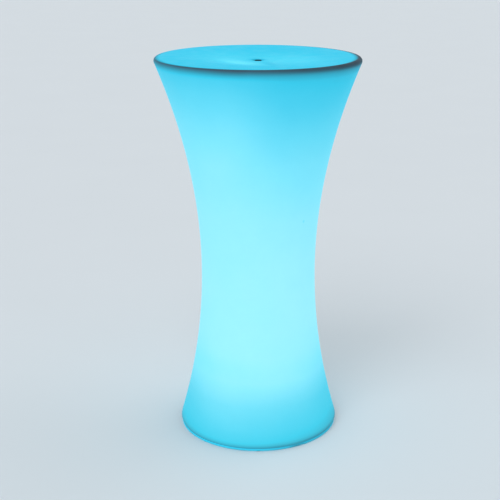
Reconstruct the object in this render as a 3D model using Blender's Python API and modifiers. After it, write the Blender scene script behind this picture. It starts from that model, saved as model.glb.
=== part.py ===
"""A waisted bar table of translucent plastic, lit from inside by a rechargeable unit in its base.

Lengths are in metres and +Z is up. The origin is on the floor, under the middle of the table.
"""

import math

import bmesh
import bpy
from mathutils import Matrix, Vector, geometry

# Shell: the table's one big moulding
TABLE_HEIGHT = 1.100
TOP_EDGE_RADIUS = 0.2954      # where the side would meet the top if the rim weren't rounded
WAIST_RADIUS = 0.1661
WAIST_HEIGHT = 0.480
BASE_RADIUS = 0.2400          # where the side, carried on down, would meet the floor
RIM_ROUND = 0.0097
FOOT_ROUND = 0.0100
SHELL_WALL = 0.0050
TOP_WALL = 0.0060
RIM_FILL_WIDTH = 0.0300       # the sharp corner behind the rim is solid this far in
RIM_FILL_DEPTH = 0.0260       # and this far down
DISH_DEPTH = 0.0108           # how far the top sinks from that solid ring to its middle
LEDGE_WIDTH = 0.0400          # turned-in foot that takes the pan's screws
LEDGE_WALL = 0.0060

# Vent plug in its dimple, in the middle of the top
VENT_HOLE_RADIUS = 0.0060
PLUG_HEAD_RADIUS = 0.0098
PLUG_HEAD_HEIGHT = 0.0030
PLUG_BARB = 0.0012            # how far the barb stands out from the stem
PLUG_BARB_HEIGHT = 0.0050
DIMPLE_RADIUS = 0.0225
DIMPLE_DEPTH = 0.0030

# Base pan: a flange under the shell and a raised middle
PAN_SET_BACK = 0.0058         # how far its lip stays inside the shell's side
PAN_WALL = 0.0050
PAN_LIP_ROUND = 0.0016
WELL_DEPTH = 0.0372
WELL_DRAFT = 0.0060
FINGER_ROOM = 0.0300          # free width round the light unit's flange
FOOT_PAD_RADIUS = 0.0120
FOOT_PAD_HEIGHT = 0.0015
FOOT_PAD_ROUND = 0.0005
PAD_COUNT = 6

# Light unit: cup with a flange
PLATE_WALL = 0.0030
CUP_WALL = 0.0025
FLANGE_WIDTH = 0.0220
GASKET_THICKNESS = 0.0020
GASKET_INSET = 0.0010
OPENING_CLEARANCE = 0.0035    # between the cup and the pan's opening
CONTENTS_CLEARANCE = 0.0030   # between the cup and what it holds
HEAD_ROOM = 0.0060

# Battery: cells side by side between a cradle and a clamp
CELL_COUNT = 3
CELL_RADIUS = 0.0092
CELL_LENGTH = 0.0652
CELL_POLE_RADIUS = 0.0035
CELL_POLE_LENGTH = 0.0010
CELL_GAP = 0.0006
CRADLE_LENGTH = 0.0480
CRADLE_FLOOR = 0.0020
SADDLE_SPLIT = 0.0060         # open height between the cradle and the clamp
TAB_LENGTH = 0.0080
TAB_WIDTH = 0.0120
TAB_WALL = 0.0030
BAY_GAP = 0.0030              # between the battery and the control board

# Control board on standoffs
BOARD_LENGTH = 0.0800
BOARD_WIDTH = 0.0340
BOARD_WALL = 0.0016
BOARD_LIFT = 0.0200
BOARD_SCREW_INSET = 0.0040
CONNECTOR_LENGTH = 0.0080
CONNECTOR_WIDTH = 0.0100
CONNECTOR_HEIGHT = 0.0060
CONNECTOR_INSET = 0.0005      # behind the board's end
CHIP_LENGTH = 0.0100
CHIP_HEIGHT = 0.0016
COIL_RADIUS = 0.0050
COIL_HEIGHT = 0.0060

# Button, indicator and charging socket, in a row under the control board
CONTROL_PITCH = 0.0210
BUTTON_RADIUS = 0.0065
BUTTON_TRAVEL = 0.0012
BUTTON_PROUD = 0.0014         # how far the button stands out of its bezel
BUTTON_SHOULDER = 0.0010
BEZEL_WALL = 0.0018
BEZEL_FLANGE = 0.0022
BEZEL_HEIGHT = 0.0016
NUT_HEIGHT = 0.0028
NUT_WALL = 0.0026
SWITCH_SIDE = 0.0120
STEM_RADIUS = 0.0018
STEM_REACH = 0.0040           # how far the button's stem goes into the switch
LENS_RADIUS = 0.0025
LENS_HEAD = 0.0012
SOCKET_BORE_RADIUS = 0.0040
SOCKET_BORE_DEPTH = 0.0095
SOCKET_BARREL_WALL = 0.0022
SOCKET_FLANGE = 0.0026
SOCKET_FLANGE_HEIGHT = 0.0015
SOCKET_PIN_RADIUS = 0.0010
SOCKET_PIN_LENGTH = 0.0040

# Hinged cap of the charging socket
CAP_THICKNESS = 0.0022
CAP_MARGIN = 0.0006
CAP_ARM_THICKNESS = 0.0016
CAP_LIFT_TAB = 0.0030
HINGE_PIN_RADIUS = 0.0010
KNUCKLE_WALL = 0.0012
KNUCKLE_LENGTH = 0.0080
EAR_THICKNESS = 0.0022
EAR_RADIUS = 0.0024

# Lamp on top of the cup
LED_RING_RADIUS = 0.0380
LED_INNER_RING_RADIUS = 0.0180
LED_RING_COUNT = 12
LED_INNER_RING_COUNT = 6
LED_SIDE = 0.0050
LED_HEIGHT = 0.0016
REFLECTOR_RADIUS = 0.0460
REFLECTOR_HEIGHT = 0.0120
REFLECTOR_WALL = 0.0015
REFLECTOR_FLARE = 0.0060
SEAL_THICKNESS = 0.0015
DOME_HEIGHT = 0.0300
DOME_WALL = 0.0022
DOME_FLANGE_WIDTH = 0.0100
DOME_FLANGE_WALL = 0.0030
DOME_POST_RADIUS = 0.0038

# Screws: shank radius, head radius, head height
PAN_SCREW = (0.0020, 0.0042, 0.0022)
MODULE_SCREW = (0.0016, 0.0034, 0.0018)
SMALL_SCREW = (0.0012, 0.0025, 0.0014)
PAN_SCREW_BITE = 0.0030       # how far a pan screw stands out above the ledge
MODULE_SCREW_COUNT = 6
POST_BITE = 0.0090            # how deep a small screw goes into its post
POST_WALL = 0.0020
HEAD_CLEARANCE = 0.0006       # round a sunk screw head

# Leads held inside the light unit
LEAD_RADIUS = 0.0014
LEAD_SLACK = 0.0140
LEAD_STEPS = 16

# Shared
SEAT_GAP = 0.0003             # between pieces that touch
OVERRUN = 0.0010              # how far a cut or a join runs past a face
ROUND_SIDES = 56
UNIT_SIDES = 36
SMALL_SIDES = 20
SCREW_SIDES = 10
DISH_STEPS = 4
SIDE_STEPS_ABOVE = 8
SIDE_STEPS_BELOW = 5
INSIDE_STEPS_ABOVE = 5
INSIDE_STEPS_BELOW = 3
ARC_STEPS = 4

# Levels, from the floor up
pan_foot = FOOT_PAD_HEIGHT + SEAT_GAP
shell_foot = pan_foot + PAN_WALL + SEAT_GAP
ledge_top = shell_foot + LEDGE_WALL
well_ceiling = pan_foot + WELL_DEPTH
plate_top = well_ceiling - GASKET_THICKNESS - 2 * SEAT_GAP
plate_under = plate_top - PLATE_WALL
cell_level = plate_top + SEAT_GAP + CRADLE_FLOOR + SEAT_GAP + CELL_RADIUS
clamp_top = cell_level + CELL_RADIUS + SEAT_GAP + CRADLE_FLOOR
board_under = plate_top + BOARD_LIFT + SEAT_GAP
board_top = board_under + BOARD_WALL
cup_top = max(clamp_top, board_top + CONNECTOR_HEIGHT) + HEAD_ROOM
lamp_under = cup_top + SEAT_GAP
lamp_top = lamp_under + BOARD_WALL
dome_under = lamp_top + SEAT_GAP + SEAL_THICKNESS + SEAT_GAP
dome_flange_top = dome_under + DOME_FLANGE_WALL
rim_fill_foot = TABLE_HEIGHT - TOP_WALL - RIM_FILL_DEPTH
dimple_floor = TABLE_HEIGHT - DISH_DEPTH - DIMPLE_DEPTH

# Plan of the light unit: the board on the -Y side, the battery on the +Y side
cell_pitch = 2 * CELL_RADIUS + CELL_GAP
saddle_half_width = CELL_COUNT * cell_pitch / 2
bay_half_width = BOARD_WIDTH / 2 + BAY_GAP / 2 + saddle_half_width + TAB_LENGTH
board_y = BOARD_WIDTH / 2 - bay_half_width
battery_y = bay_half_width - saddle_half_width - TAB_LENGTH
cell_end = CELL_LENGTH / 2
contents_radius = max(
    math.hypot(BOARD_LENGTH / 2, bay_half_width),
    math.hypot(cell_end + CELL_POLE_LENGTH + 2 * LEAD_SLACK, battery_y),
)
cup_inner_radius = contents_radius + CONTENTS_CLEARANCE
cup_radius = cup_inner_radius + CUP_WALL
flange_radius = cup_radius + FLANGE_WIDTH
module_screw_circle = cup_radius + FLANGE_WIDTH / 2
pan_opening = cup_radius + OPENING_CLEARANCE
well_ceiling_radius = flange_radius + FINGER_ROOM
well_mouth_radius = well_ceiling_radius + WELL_DRAFT
lamp_radius = cup_radius
dome_radius = lamp_radius - DOME_FLANGE_WIDTH
dome_post_circle = cup_inner_radius - DOME_POST_RADIUS + CUP_WALL / 2

# Axes of the hinged cap
socket_flange_radius = SOCKET_BORE_RADIUS + SOCKET_BARREL_WALL + SOCKET_FLANGE
cap_radius = socket_flange_radius + CAP_MARGIN
knuckle_radius = HINGE_PIN_RADIUS + SEAT_GAP + KNUCKLE_WALL
hinge_x = CONTROL_PITCH + cap_radius + knuckle_radius
cap_top = plate_under - SEAT_GAP - SOCKET_FLANGE_HEIGHT - SEAT_GAP
hinge_level = cap_top - CAP_THICKNESS / 2


def new_collection(name):
    collection = bpy.data.collections.new(name)
    bpy.context.scene.collection.children.link(collection)
    return collection


for old in list(bpy.data.objects):
    bpy.data.objects.remove(old, do_unlink=True)
parts = new_collection("light_up_table")
cutters = new_collection("cutters")


def material(name, colour, roughness, metallic=0.0, glow=0.0):
    finish = bpy.data.materials.new(name)
    finish.use_nodes = True
    shader = finish.node_tree.nodes["Principled BSDF"]
    shader.inputs["Base Color"].default_value = (*colour, 1.0)
    shader.inputs["Roughness"].default_value = roughness
    shader.inputs["Metallic"].default_value = metallic
    if glow:
        shader.inputs["Emission Color"].default_value = (*colour, 1.0)
        shader.inputs["Emission Strength"].default_value = glow
    return finish


LIT_SHELL = material("lit_shell_plastic", (0.16, 0.78, 0.95), 0.45, glow=0.6)
LIT_PAN = material("lit_pan_plastic", (0.12, 0.66, 0.84), 0.45, glow=0.3)
DARK_PLUG = material("dark_plug_rubber", (0.02, 0.04, 0.05), 0.6)
RUBBER = material("black_rubber", (0.02, 0.02, 0.02), 0.8)
STEEL = material("stainless_steel", (0.62, 0.62, 0.60), 0.3, metallic=1.0)
WHITE_ABS = material("white_housing_plastic", (0.80, 0.81, 0.80), 0.4)
GREY_ABS = material("grey_switch_plastic", (0.10, 0.10, 0.11), 0.5)
CLEAR = material("clear_dome_plastic", (0.85, 0.93, 0.95), 0.1)
MIRROR_WHITE = material("reflector_plastic", (0.90, 0.90, 0.90), 0.2)
GREEN_BOARD = material("circuit_board", (0.02, 0.22, 0.08), 0.4)
WHITE_BOARD = material("lamp_board", (0.85, 0.86, 0.84), 0.35)
CELL_WRAP = material("battery_wrap", (0.05, 0.20, 0.55), 0.35)
NICKEL = material("nickel_plate", (0.70, 0.66, 0.58), 0.25, metallic=1.0)
LEAD_SLEEVE = material("lead_sleeve", (0.03, 0.03, 0.03), 0.5)


def add_object(name, mesh, finish=None, collection=parts):
    thing = bpy.data.objects.new(name, mesh)
    if finish:
        mesh.materials.append(finish)
    collection.objects.link(thing)
    return thing


def arc(centre, radius, start, end, steps=ARC_STEPS):
    """Points (radius, height) along an arc; the angles are in radians from the outward direction."""
    angles = [start + (end - start) * step / steps for step in range(steps + 1)]
    return [(centre[0] + radius * math.cos(a), centre[1] + radius * math.sin(a)) for a in angles]


def turned(name, profile, finish, sides, closed=False, place=(0, 0, 0), flip=False):
    """A profile of (radius, height) points, swept round Z by a Screw modifier."""
    mesh = bpy.data.meshes.new(name)
    edges = [(i, i + 1) for i in range(len(profile) - 1)]
    if closed:
        edges.append((len(profile) - 1, 0))
    mesh.from_pydata([(radius, 0, height) for radius, height in profile], edges, [])
    thing = add_object(name, mesh, finish)
    screw = thing.modifiers.new("turn", "SCREW")
    screw.steps = screw.render_steps = sides
    screw.use_merge_vertices = True
    screw.merge_threshold = SEAT_GAP / 100
    screw.use_smooth_shade = False
    thing.location = place
    if flip:
        thing.rotation_euler = (math.pi, 0, 0)
    return thing


def add_cylinder(shape, radius, low, high, sides, centre=(0, 0), tilt=None):
    """Adds an upright cylinder to a bmesh, or one turned by tilt about the origin."""
    matrix = Matrix.Translation((centre[0], centre[1], (low + high) / 2))
    bmesh.ops.create_cone(shape, cap_ends=True, cap_tris=False, segments=sides, radius1=radius,
                          radius2=radius, depth=high - low, matrix=(tilt or Matrix()) @ matrix)


def add_box(shape, low, high):
    size = Vector(high) - Vector(low)
    middle = (Vector(high) + Vector(low)) / 2
    bmesh.ops.create_cube(shape, size=1, matrix=Matrix.Translation(middle) @ Matrix.Diagonal((*size, 1)))


def finish_shape(name, shape, finish=None, collection=parts):
    mesh = bpy.data.meshes.new(name)
    shape.to_mesh(mesh)
    shape.free()
    thing = add_object(name, mesh, finish, collection)
    if collection is cutters:
        thing.hide_render = True
        thing.display_type = "WIRE"
    return thing


def boolean(target, operation, shape):
    """Joins a bmesh to an object, or cuts it away, and keeps it as a cutter."""
    tool = finish_shape(f"{target.name}_{operation.lower()}_{len(target.modifiers)}", shape, None, cutters)
    modifier = target.modifiers.new(operation.lower(), "BOOLEAN")
    modifier.operation = operation
    modifier.solver = "EXACT"
    modifier.object = tool


def on_circle(radius, count, start=0.0):
    """Plan places evenly round a circle; start is the first one's share of a step."""
    angles = [2 * math.pi * (index + start) / count for index in range(count)]
    return [(radius * math.cos(a), radius * math.sin(a)) for a in angles]


def screw(name, sizes, length, place, head_down):
    """A pan-head screw; its place is the seat under its head."""
    shank, head, height = sizes
    profile = [(0, height), (head - height / 2, height), (head, height / 2), (head, 0),
               (shank, 0), (shank, shank - length), (0, -length)]
    turned(name, profile, STEEL, SCREW_SIDES, place=place, flip=head_down)


# Profile of the shell
def side_end(height):
    """Radius and height at which the half of the side that holds this height ends."""
    return (TOP_EDGE_RADIUS, TABLE_HEIGHT) if height > WAIST_HEIGHT else (BASE_RADIUS, 0)


def side_radius(height):
    """The waisted side: two parabolas that share their turning point at the waist."""
    end_radius, end_height = side_end(height)
    share = (height - WAIST_HEIGHT) / (end_height - WAIST_HEIGHT)
    return WAIST_RADIUS + (end_radius - WAIST_RADIUS) * share ** 2


def side_lean(height):
    """Angle by which the side leans away from upright there, positive where it opens upward."""
    end_radius, end_height = side_end(height)
    share = (height - WAIST_HEIGHT) / (end_height - WAIST_HEIGHT)
    return math.atan(2 * (end_radius - WAIST_RADIUS) * share / (end_height - WAIST_HEIGHT))


def heights_between(low, high, steps):
    """Heights between two levels, without the levels themselves."""
    return [low + (high - low) * step / steps for step in range(1, steps)]


def dish_radius():
    """The top is flat over the rim's solid corner, and its dish starts inside that."""
    return side_radius(rim_fill_foot) - SHELL_WALL - RIM_FILL_WIDTH


def dish_points(drop):
    """Points from the dimple's edge out to the dish's edge, lowered by drop."""
    radii = [DIMPLE_RADIUS, *heights_between(DIMPLE_RADIUS, dish_radius(), DISH_STEPS), dish_radius()]
    depths = [DISH_DEPTH * (1 + math.cos(math.pi * radius / dish_radius())) / 2 for radius in radii]
    return [(radius, TABLE_HEIGHT - depth - drop) for radius, depth in zip(radii, depths)]


def shell_profile():
    """Once round the wall: over the top, down the side, in along the foot and back up inside."""
    top_lean = side_lean(TABLE_HEIGHT)
    rim_centre = (TOP_EDGE_RADIUS - RIM_ROUND / math.tan((math.pi / 2 - top_lean) / 2),
                  TABLE_HEIGHT - RIM_ROUND)
    rim = arc(rim_centre, RIM_ROUND, math.pi / 2, -top_lean)

    foot_lean = -side_lean(shell_foot)
    foot_centre = (side_radius(shell_foot) - FOOT_ROUND / math.tan((math.pi / 2 - foot_lean) / 2),
                   shell_foot + FOOT_ROUND)
    foot = arc(foot_centre, FOOT_ROUND, foot_lean, -math.pi / 2)

    dimple_start = PLUG_HEAD_RADIUS + 2 * SEAT_GAP
    dimple_rise = dish_points(0)[0][1] - dimple_floor
    dimple = [(VENT_HOLE_RADIUS, dimple_floor), (dimple_start, dimple_floor)]
    for share in (1 / 3, 2 / 3):
        radius = dimple_start + (DIMPLE_RADIUS - dimple_start) * share
        dimple.append((radius, dimple_floor + dimple_rise * math.sin(math.pi / 2 * share) ** 2))

    outer_heights = [
        *heights_between(rim[-1][1], WAIST_HEIGHT, SIDE_STEPS_ABOVE),
        WAIST_HEIGHT,
        *heights_between(WAIST_HEIGHT, foot[0][1], SIDE_STEPS_BELOW),
    ]
    side = [(side_radius(height), height) for height in outer_heights]

    inner_heights = [
        *heights_between(ledge_top, WAIST_HEIGHT, INSIDE_STEPS_BELOW),
        WAIST_HEIGHT,
        *heights_between(WAIST_HEIGHT, rim_fill_foot, INSIDE_STEPS_ABOVE),
        rim_fill_foot,
    ]
    ledge_radius = side_radius(shell_foot) - LEDGE_WIDTH
    inside = [(ledge_radius, shell_foot), (ledge_radius, ledge_top),
              (side_radius(ledge_top) - SHELL_WALL, ledge_top)]
    inside += [(side_radius(height) - SHELL_WALL, height) for height in inner_heights]
    inside += reversed(dish_points(TOP_WALL))
    inside += [(dimple_start, dimple_floor - TOP_WALL), (VENT_HOLE_RADIUS, dimple_floor - TOP_WALL)]
    return dimple + dish_points(0) + rim + side + foot + inside


def ledge_circle():
    """Radius of the circle on which the pan's screws and the foot pads lie."""
    return side_radius(shell_foot) - LEDGE_WIDTH / 2


def build_shell():
    shell = turned("table_shell", shell_profile(), LIT_SHELL, ROUND_SIDES, closed=True)
    holes = bmesh.new()
    for place in on_circle(ledge_circle(), PAD_COUNT):
        add_cylinder(holes, PAN_SCREW[0] + SEAT_GAP, shell_foot - OVERRUN, ledge_top + OVERRUN,
                     SCREW_SIDES, place)
    boolean(shell, "DIFFERENCE", holes)


def build_vent_plug():
    seat = dimple_floor + SEAT_GAP
    barb_top = dimple_floor - TOP_WALL - SEAT_GAP
    stem = VENT_HOLE_RADIUS - SEAT_GAP
    profile = [(0, seat + PLUG_HEAD_HEIGHT), (PLUG_HEAD_RADIUS / 2, seat + PLUG_HEAD_HEIGHT * 0.9),
               (PLUG_HEAD_RADIUS, seat + PLUG_HEAD_HEIGHT / 3), (PLUG_HEAD_RADIUS, seat),
               (stem, seat), (stem, barb_top), (stem + PLUG_BARB, barb_top),
               (stem / 2, barb_top - PLUG_BARB_HEIGHT), (0, barb_top - PLUG_BARB_HEIGHT)]
    turned("vent_plug", profile, DARK_PLUG, SMALL_SIDES)


def build_pan():
    """Flange with a rounded lip, a drafted well and the opening for the light unit."""
    flange_top = pan_foot + PAN_WALL
    lip_radius = side_radius(shell_foot) - PAN_SET_BACK - PAN_LIP_ROUND
    lip_top = (lip_radius, flange_top - PAN_LIP_ROUND)
    lip_foot = (lip_radius, pan_foot + PAN_LIP_ROUND)
    profile = [
        (pan_opening, well_ceiling + PAN_WALL),
        (well_ceiling_radius + PAN_WALL, well_ceiling + PAN_WALL),
        (well_mouth_radius + PAN_WALL, flange_top),
        *arc(lip_top, PAN_LIP_ROUND, math.pi / 2, 0, 2),
        *arc(lip_foot, PAN_LIP_ROUND, 0, -math.pi / 2, 2),
        (well_mouth_radius, pan_foot),
        (well_ceiling_radius, well_ceiling),
        (pan_opening, well_ceiling),
    ]
    pan = turned("base_pan", profile, LIT_PAN, ROUND_SIDES, closed=True)
    shank, head, height = PAN_SCREW
    holes = bmesh.new()
    for place in on_circle(ledge_circle(), PAD_COUNT):
        add_cylinder(holes, shank + SEAT_GAP, pan_foot - OVERRUN, flange_top + OVERRUN, SCREW_SIDES, place)
    for place in on_circle(module_screw_circle, MODULE_SCREW_COUNT):
        add_cylinder(holes, MODULE_SCREW[0] + SEAT_GAP, well_ceiling - OVERRUN,
                     well_ceiling + PAN_WALL + OVERRUN, SCREW_SIDES, place)
    boolean(pan, "DIFFERENCE", holes)
    recesses = bmesh.new()
    for place in on_circle(ledge_circle(), PAD_COUNT):
        add_cylinder(recesses, head + HEAD_CLEARANCE, pan_foot - OVERRUN, pan_foot + height + SEAT_GAP,
                     SCREW_SIDES, place)
    boolean(pan, "DIFFERENCE", recesses)


def build_feet_and_pan_screws():
    pad_profile = [(0, FOOT_PAD_HEIGHT), (FOOT_PAD_RADIUS - FOOT_PAD_ROUND, FOOT_PAD_HEIGHT),
                   (FOOT_PAD_RADIUS, FOOT_PAD_HEIGHT - FOOT_PAD_ROUND), (FOOT_PAD_RADIUS, FOOT_PAD_ROUND),
                   (FOOT_PAD_RADIUS - FOOT_PAD_ROUND, 0), (0, 0)]
    for number, (x, y) in enumerate(on_circle(ledge_circle(), PAD_COUNT, 1 / 2), 1):
        turned(f"foot_pad_{number}", pad_profile, RUBBER, SCREW_SIDES, place=(x, y, 0))
    seat = pan_foot + PAN_SCREW[2]
    length = ledge_top + PAN_SCREW_BITE - seat
    for number, (x, y) in enumerate(on_circle(ledge_circle(), PAD_COUNT), 1):
        screw(f"pan_screw_{number}", PAN_SCREW, length, (x, y, seat), head_down=True)


# Places in the light unit that several pieces share
def board_screw_places():
    half_length = BOARD_LENGTH / 2 - BOARD_SCREW_INSET
    half_width = BOARD_WIDTH / 2 - BOARD_SCREW_INSET
    return [(x * half_length, board_y + y * half_width) for x in (-1, 1) for y in (-1, 1)]


def clamp_screw_places():
    reach = saddle_half_width + TAB_LENGTH / 2
    return [(0, battery_y - reach), (0, battery_y + reach)]


def barrel_radius(kind):
    """Outer radius of the button's bezel or of the socket, where it goes through the plate."""
    if kind == "button":
        return BUTTON_RADIUS + SEAT_GAP + BEZEL_WALL
    return SOCKET_BORE_RADIUS + SOCKET_BARREL_WALL


def build_housing():
    """Cup with a flange, with posts inside it and the cap's two hinge ears under it."""
    profile = [(0, plate_top), (cup_inner_radius, plate_top), (cup_inner_radius, cup_top),
               (cup_radius, cup_top), (cup_radius, plate_top), (flange_radius, plate_top),
               (flange_radius, plate_under), (0, plate_under)]
    housing = turned("module_housing", profile, WHITE_ABS, UNIT_SIDES)

    posts = bmesh.new()
    for place in on_circle(dome_post_circle, 4, 1 / 2):
        add_cylinder(posts, DOME_POST_RADIUS, plate_top - OVERRUN, cup_top - OVERRUN, SCREW_SIDES, place)
    for place in board_screw_places():
        add_cylinder(posts, SMALL_SCREW[0] + POST_WALL, plate_top - OVERRUN, board_under - SEAT_GAP,
                     SCREW_SIDES, place)
    tab_under = cell_level - SADDLE_SPLIT / 2 - TAB_WALL
    for place in clamp_screw_places():
        add_cylinder(posts, SMALL_SCREW[0] + POST_WALL, plate_top - OVERRUN, tab_under - SEAT_GAP,
                     SCREW_SIDES, place)
    boolean(housing, "UNION", posts)

    ears = bmesh.new()
    inner = KNUCKLE_LENGTH / 2 + SEAT_GAP
    outer = inner + EAR_THICKNESS
    for low, high in ((-outer, -inner), (inner, outer)):
        add_box(ears, (hinge_x - EAR_RADIUS, board_y + low, hinge_level - EAR_RADIUS),
                (hinge_x + EAR_RADIUS, board_y + high, plate_under + OVERRUN))
    boolean(housing, "UNION", ears)

    holes = bmesh.new()
    for place in on_circle(module_screw_circle, MODULE_SCREW_COUNT):
        add_cylinder(holes, MODULE_SCREW[0] + SEAT_GAP, plate_under - OVERRUN, plate_top + OVERRUN,
                     SCREW_SIDES, place)
    for place in on_circle(dome_post_circle, 4, 1 / 2):
        add_cylinder(holes, SMALL_SCREW[0] + SEAT_GAP, cup_top - POST_BITE - SEAT_GAP, cup_top + OVERRUN,
                     SCREW_SIDES, place)
    for place in board_screw_places():
        add_cylinder(holes, SMALL_SCREW[0] + SEAT_GAP, board_under - POST_BITE - SEAT_GAP,
                     board_under + OVERRUN, SCREW_SIDES, place)
    for place in clamp_screw_places():
        add_cylinder(holes, SMALL_SCREW[0] + SEAT_GAP, plate_top + SEAT_GAP, tab_under + OVERRUN,
                     SCREW_SIDES, place)
    for x, kind in ((-CONTROL_PITCH, "button"), (CONTROL_PITCH, "socket")):
        add_cylinder(holes, barrel_radius(kind) + SEAT_GAP, plate_under - OVERRUN, plate_top + OVERRUN,
                     SMALL_SIDES, (x, board_y))
    add_cylinder(holes, LENS_RADIUS + SEAT_GAP, plate_under - OVERRUN, plate_top + OVERRUN,
                 SCREW_SIDES, (0, board_y))
    boolean(housing, "DIFFERENCE", holes)

    pin_hole = bmesh.new()
    add_cylinder(pin_hole, HINGE_PIN_RADIUS + SEAT_GAP, -outer - OVERRUN, outer + OVERRUN, SCREW_SIDES,
                 tilt=across(hinge_x, hinge_level))
    boolean(housing, "DIFFERENCE", pin_hole)


def across(x, height):
    """Turns an upright shape at the origin to lie along Y, at the controls' row."""
    return Matrix.Translation((x, board_y, height)) @ Matrix.Rotation(math.pi / 2, 4, "X")


def build_gasket_and_module_screws():
    top = well_ceiling - SEAT_GAP
    under = top - GASKET_THICKNESS
    profile = [(flange_radius - GASKET_INSET, top), (flange_radius - GASKET_INSET, under),
               (pan_opening, under), (pan_opening, top)]
    gasket = turned("module_gasket", profile, RUBBER, UNIT_SIDES, closed=True)
    holes = bmesh.new()
    for place in on_circle(module_screw_circle, MODULE_SCREW_COUNT):
        add_cylinder(holes, MODULE_SCREW[0] + SEAT_GAP, under - OVERRUN, top + OVERRUN, SCREW_SIDES, place)
    boolean(gasket, "DIFFERENCE", holes)
    seat = plate_under - SEAT_GAP
    length = well_ceiling + PAN_WALL - seat
    for number, (x, y) in enumerate(on_circle(module_screw_circle, MODULE_SCREW_COUNT), 1):
        screw(f"module_screw_{number}", MODULE_SCREW, length, (x, y, seat), head_down=True)


def build_saddle(name, low, high, tab_low):
    """Half of the battery's holder: a block with a tab at each end and a trough for each cell."""
    shape = bmesh.new()
    add_box(shape, (-CRADLE_LENGTH / 2, battery_y - saddle_half_width, low),
            (CRADLE_LENGTH / 2, battery_y + saddle_half_width, high))
    saddle = finish_shape(name, shape, GREY_ABS)
    tabs = bmesh.new()
    for side in (-1, 1):
        inner = battery_y + side * (saddle_half_width - OVERRUN)
        outer = battery_y + side * (saddle_half_width + TAB_LENGTH)
        add_box(tabs, (-TAB_WIDTH / 2, min(inner, outer), tab_low),
                (TAB_WIDTH / 2, max(inner, outer), tab_low + TAB_WALL))
    boolean(saddle, "UNION", tabs)
    troughs = bmesh.new()
    for y in cell_rows():
        lying = Matrix.Translation((0, y, cell_level)) @ Matrix.Rotation(math.pi / 2, 4, "Y")
        add_cylinder(troughs, CELL_RADIUS + SEAT_GAP, -CRADLE_LENGTH / 2 - OVERRUN,
                     CRADLE_LENGTH / 2 + OVERRUN, SMALL_SIDES, tilt=lying)
    boolean(saddle, "DIFFERENCE", troughs)
    holes = bmesh.new()
    for place in clamp_screw_places():
        add_cylinder(holes, SMALL_SCREW[0] + SEAT_GAP, tab_low - OVERRUN, tab_low + TAB_WALL + OVERRUN,
                     SCREW_SIDES, place)
    boolean(saddle, "DIFFERENCE", holes)


def cell_rows():
    return [battery_y + (index - (CELL_COUNT - 1) / 2) * cell_pitch for index in range(CELL_COUNT)]


def build_battery():
    lower_tab = cell_level - SADDLE_SPLIT / 2 - TAB_WALL
    upper_tab = cell_level + SADDLE_SPLIT / 2
    build_saddle("battery_cradle", plate_top + SEAT_GAP, lower_tab + TAB_WALL, lower_tab)
    build_saddle("battery_clamp", upper_tab, clamp_top, upper_tab)
    can = CELL_LENGTH / 2
    profile = [(0, can + CELL_POLE_LENGTH), (CELL_POLE_RADIUS, can + CELL_POLE_LENGTH),
               (CELL_POLE_RADIUS, can), (CELL_RADIUS, can), (CELL_RADIUS, -can), (0, -can)]
    for number, y in enumerate(cell_rows(), 1):
        cell = turned(f"battery_cell_{number}", profile, CELL_WRAP, SMALL_SIDES, place=(0, y, cell_level))
        cell.rotation_euler = (0, math.pi / 2 * (-1) ** number, 0)
    seat = upper_tab + TAB_WALL + SEAT_GAP
    length = seat - plate_top - 2 * SEAT_GAP
    for number, (x, y) in enumerate(clamp_screw_places(), 1):
        screw(f"clamp_screw_{number}", SMALL_SCREW, length, (x, y, seat), head_down=False)


def connector_box(side):
    """Corners of the connector at one end of the control board, on its top face."""
    outer = BOARD_LENGTH / 2 - CONNECTOR_INSET
    inner = outer - CONNECTOR_LENGTH
    return ((min(side * inner, side * outer), board_y - CONNECTOR_WIDTH / 2, board_top - OVERRUN),
            (max(side * inner, side * outer), board_y + CONNECTOR_WIDTH / 2, board_top + CONNECTOR_HEIGHT))


def build_control_board():
    shape = bmesh.new()
    add_box(shape, (-BOARD_LENGTH / 2, board_y - BOARD_WIDTH / 2, board_under),
            (BOARD_LENGTH / 2, board_y + BOARD_WIDTH / 2, board_top))
    board = finish_shape("control_board", shape, GREEN_BOARD)
    fitted = bmesh.new()
    for side in (-1, 1):
        add_box(fitted, *connector_box(side))
    add_box(fitted, (-CHIP_LENGTH, board_y - CHIP_LENGTH / 2, board_top - OVERRUN),
            (0, board_y + CHIP_LENGTH / 2, board_top + CHIP_HEIGHT))
    add_cylinder(fitted, COIL_RADIUS, board_top - OVERRUN, board_top + COIL_HEIGHT, SCREW_SIDES,
                 (2 * COIL_RADIUS, board_y))
    boolean(board, "UNION", fitted)
    holes = bmesh.new()
    for place in board_screw_places():
        add_cylinder(holes, SMALL_SCREW[0] + SEAT_GAP, board_under - OVERRUN, board_top + OVERRUN,
                     SCREW_SIDES, place)
    boolean(board, "DIFFERENCE", holes)
    seat = board_top + SEAT_GAP
    length = seat - board_under + POST_BITE - SEAT_GAP
    for number, (x, y) in enumerate(board_screw_places(), 1):
        screw(f"board_screw_{number}", SMALL_SCREW, length, (x, y, seat), head_down=False)


def ring_profile(inner, outer, low, high):
    return [(outer, high), (outer, low), (inner, low), (inner, high)]


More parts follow.
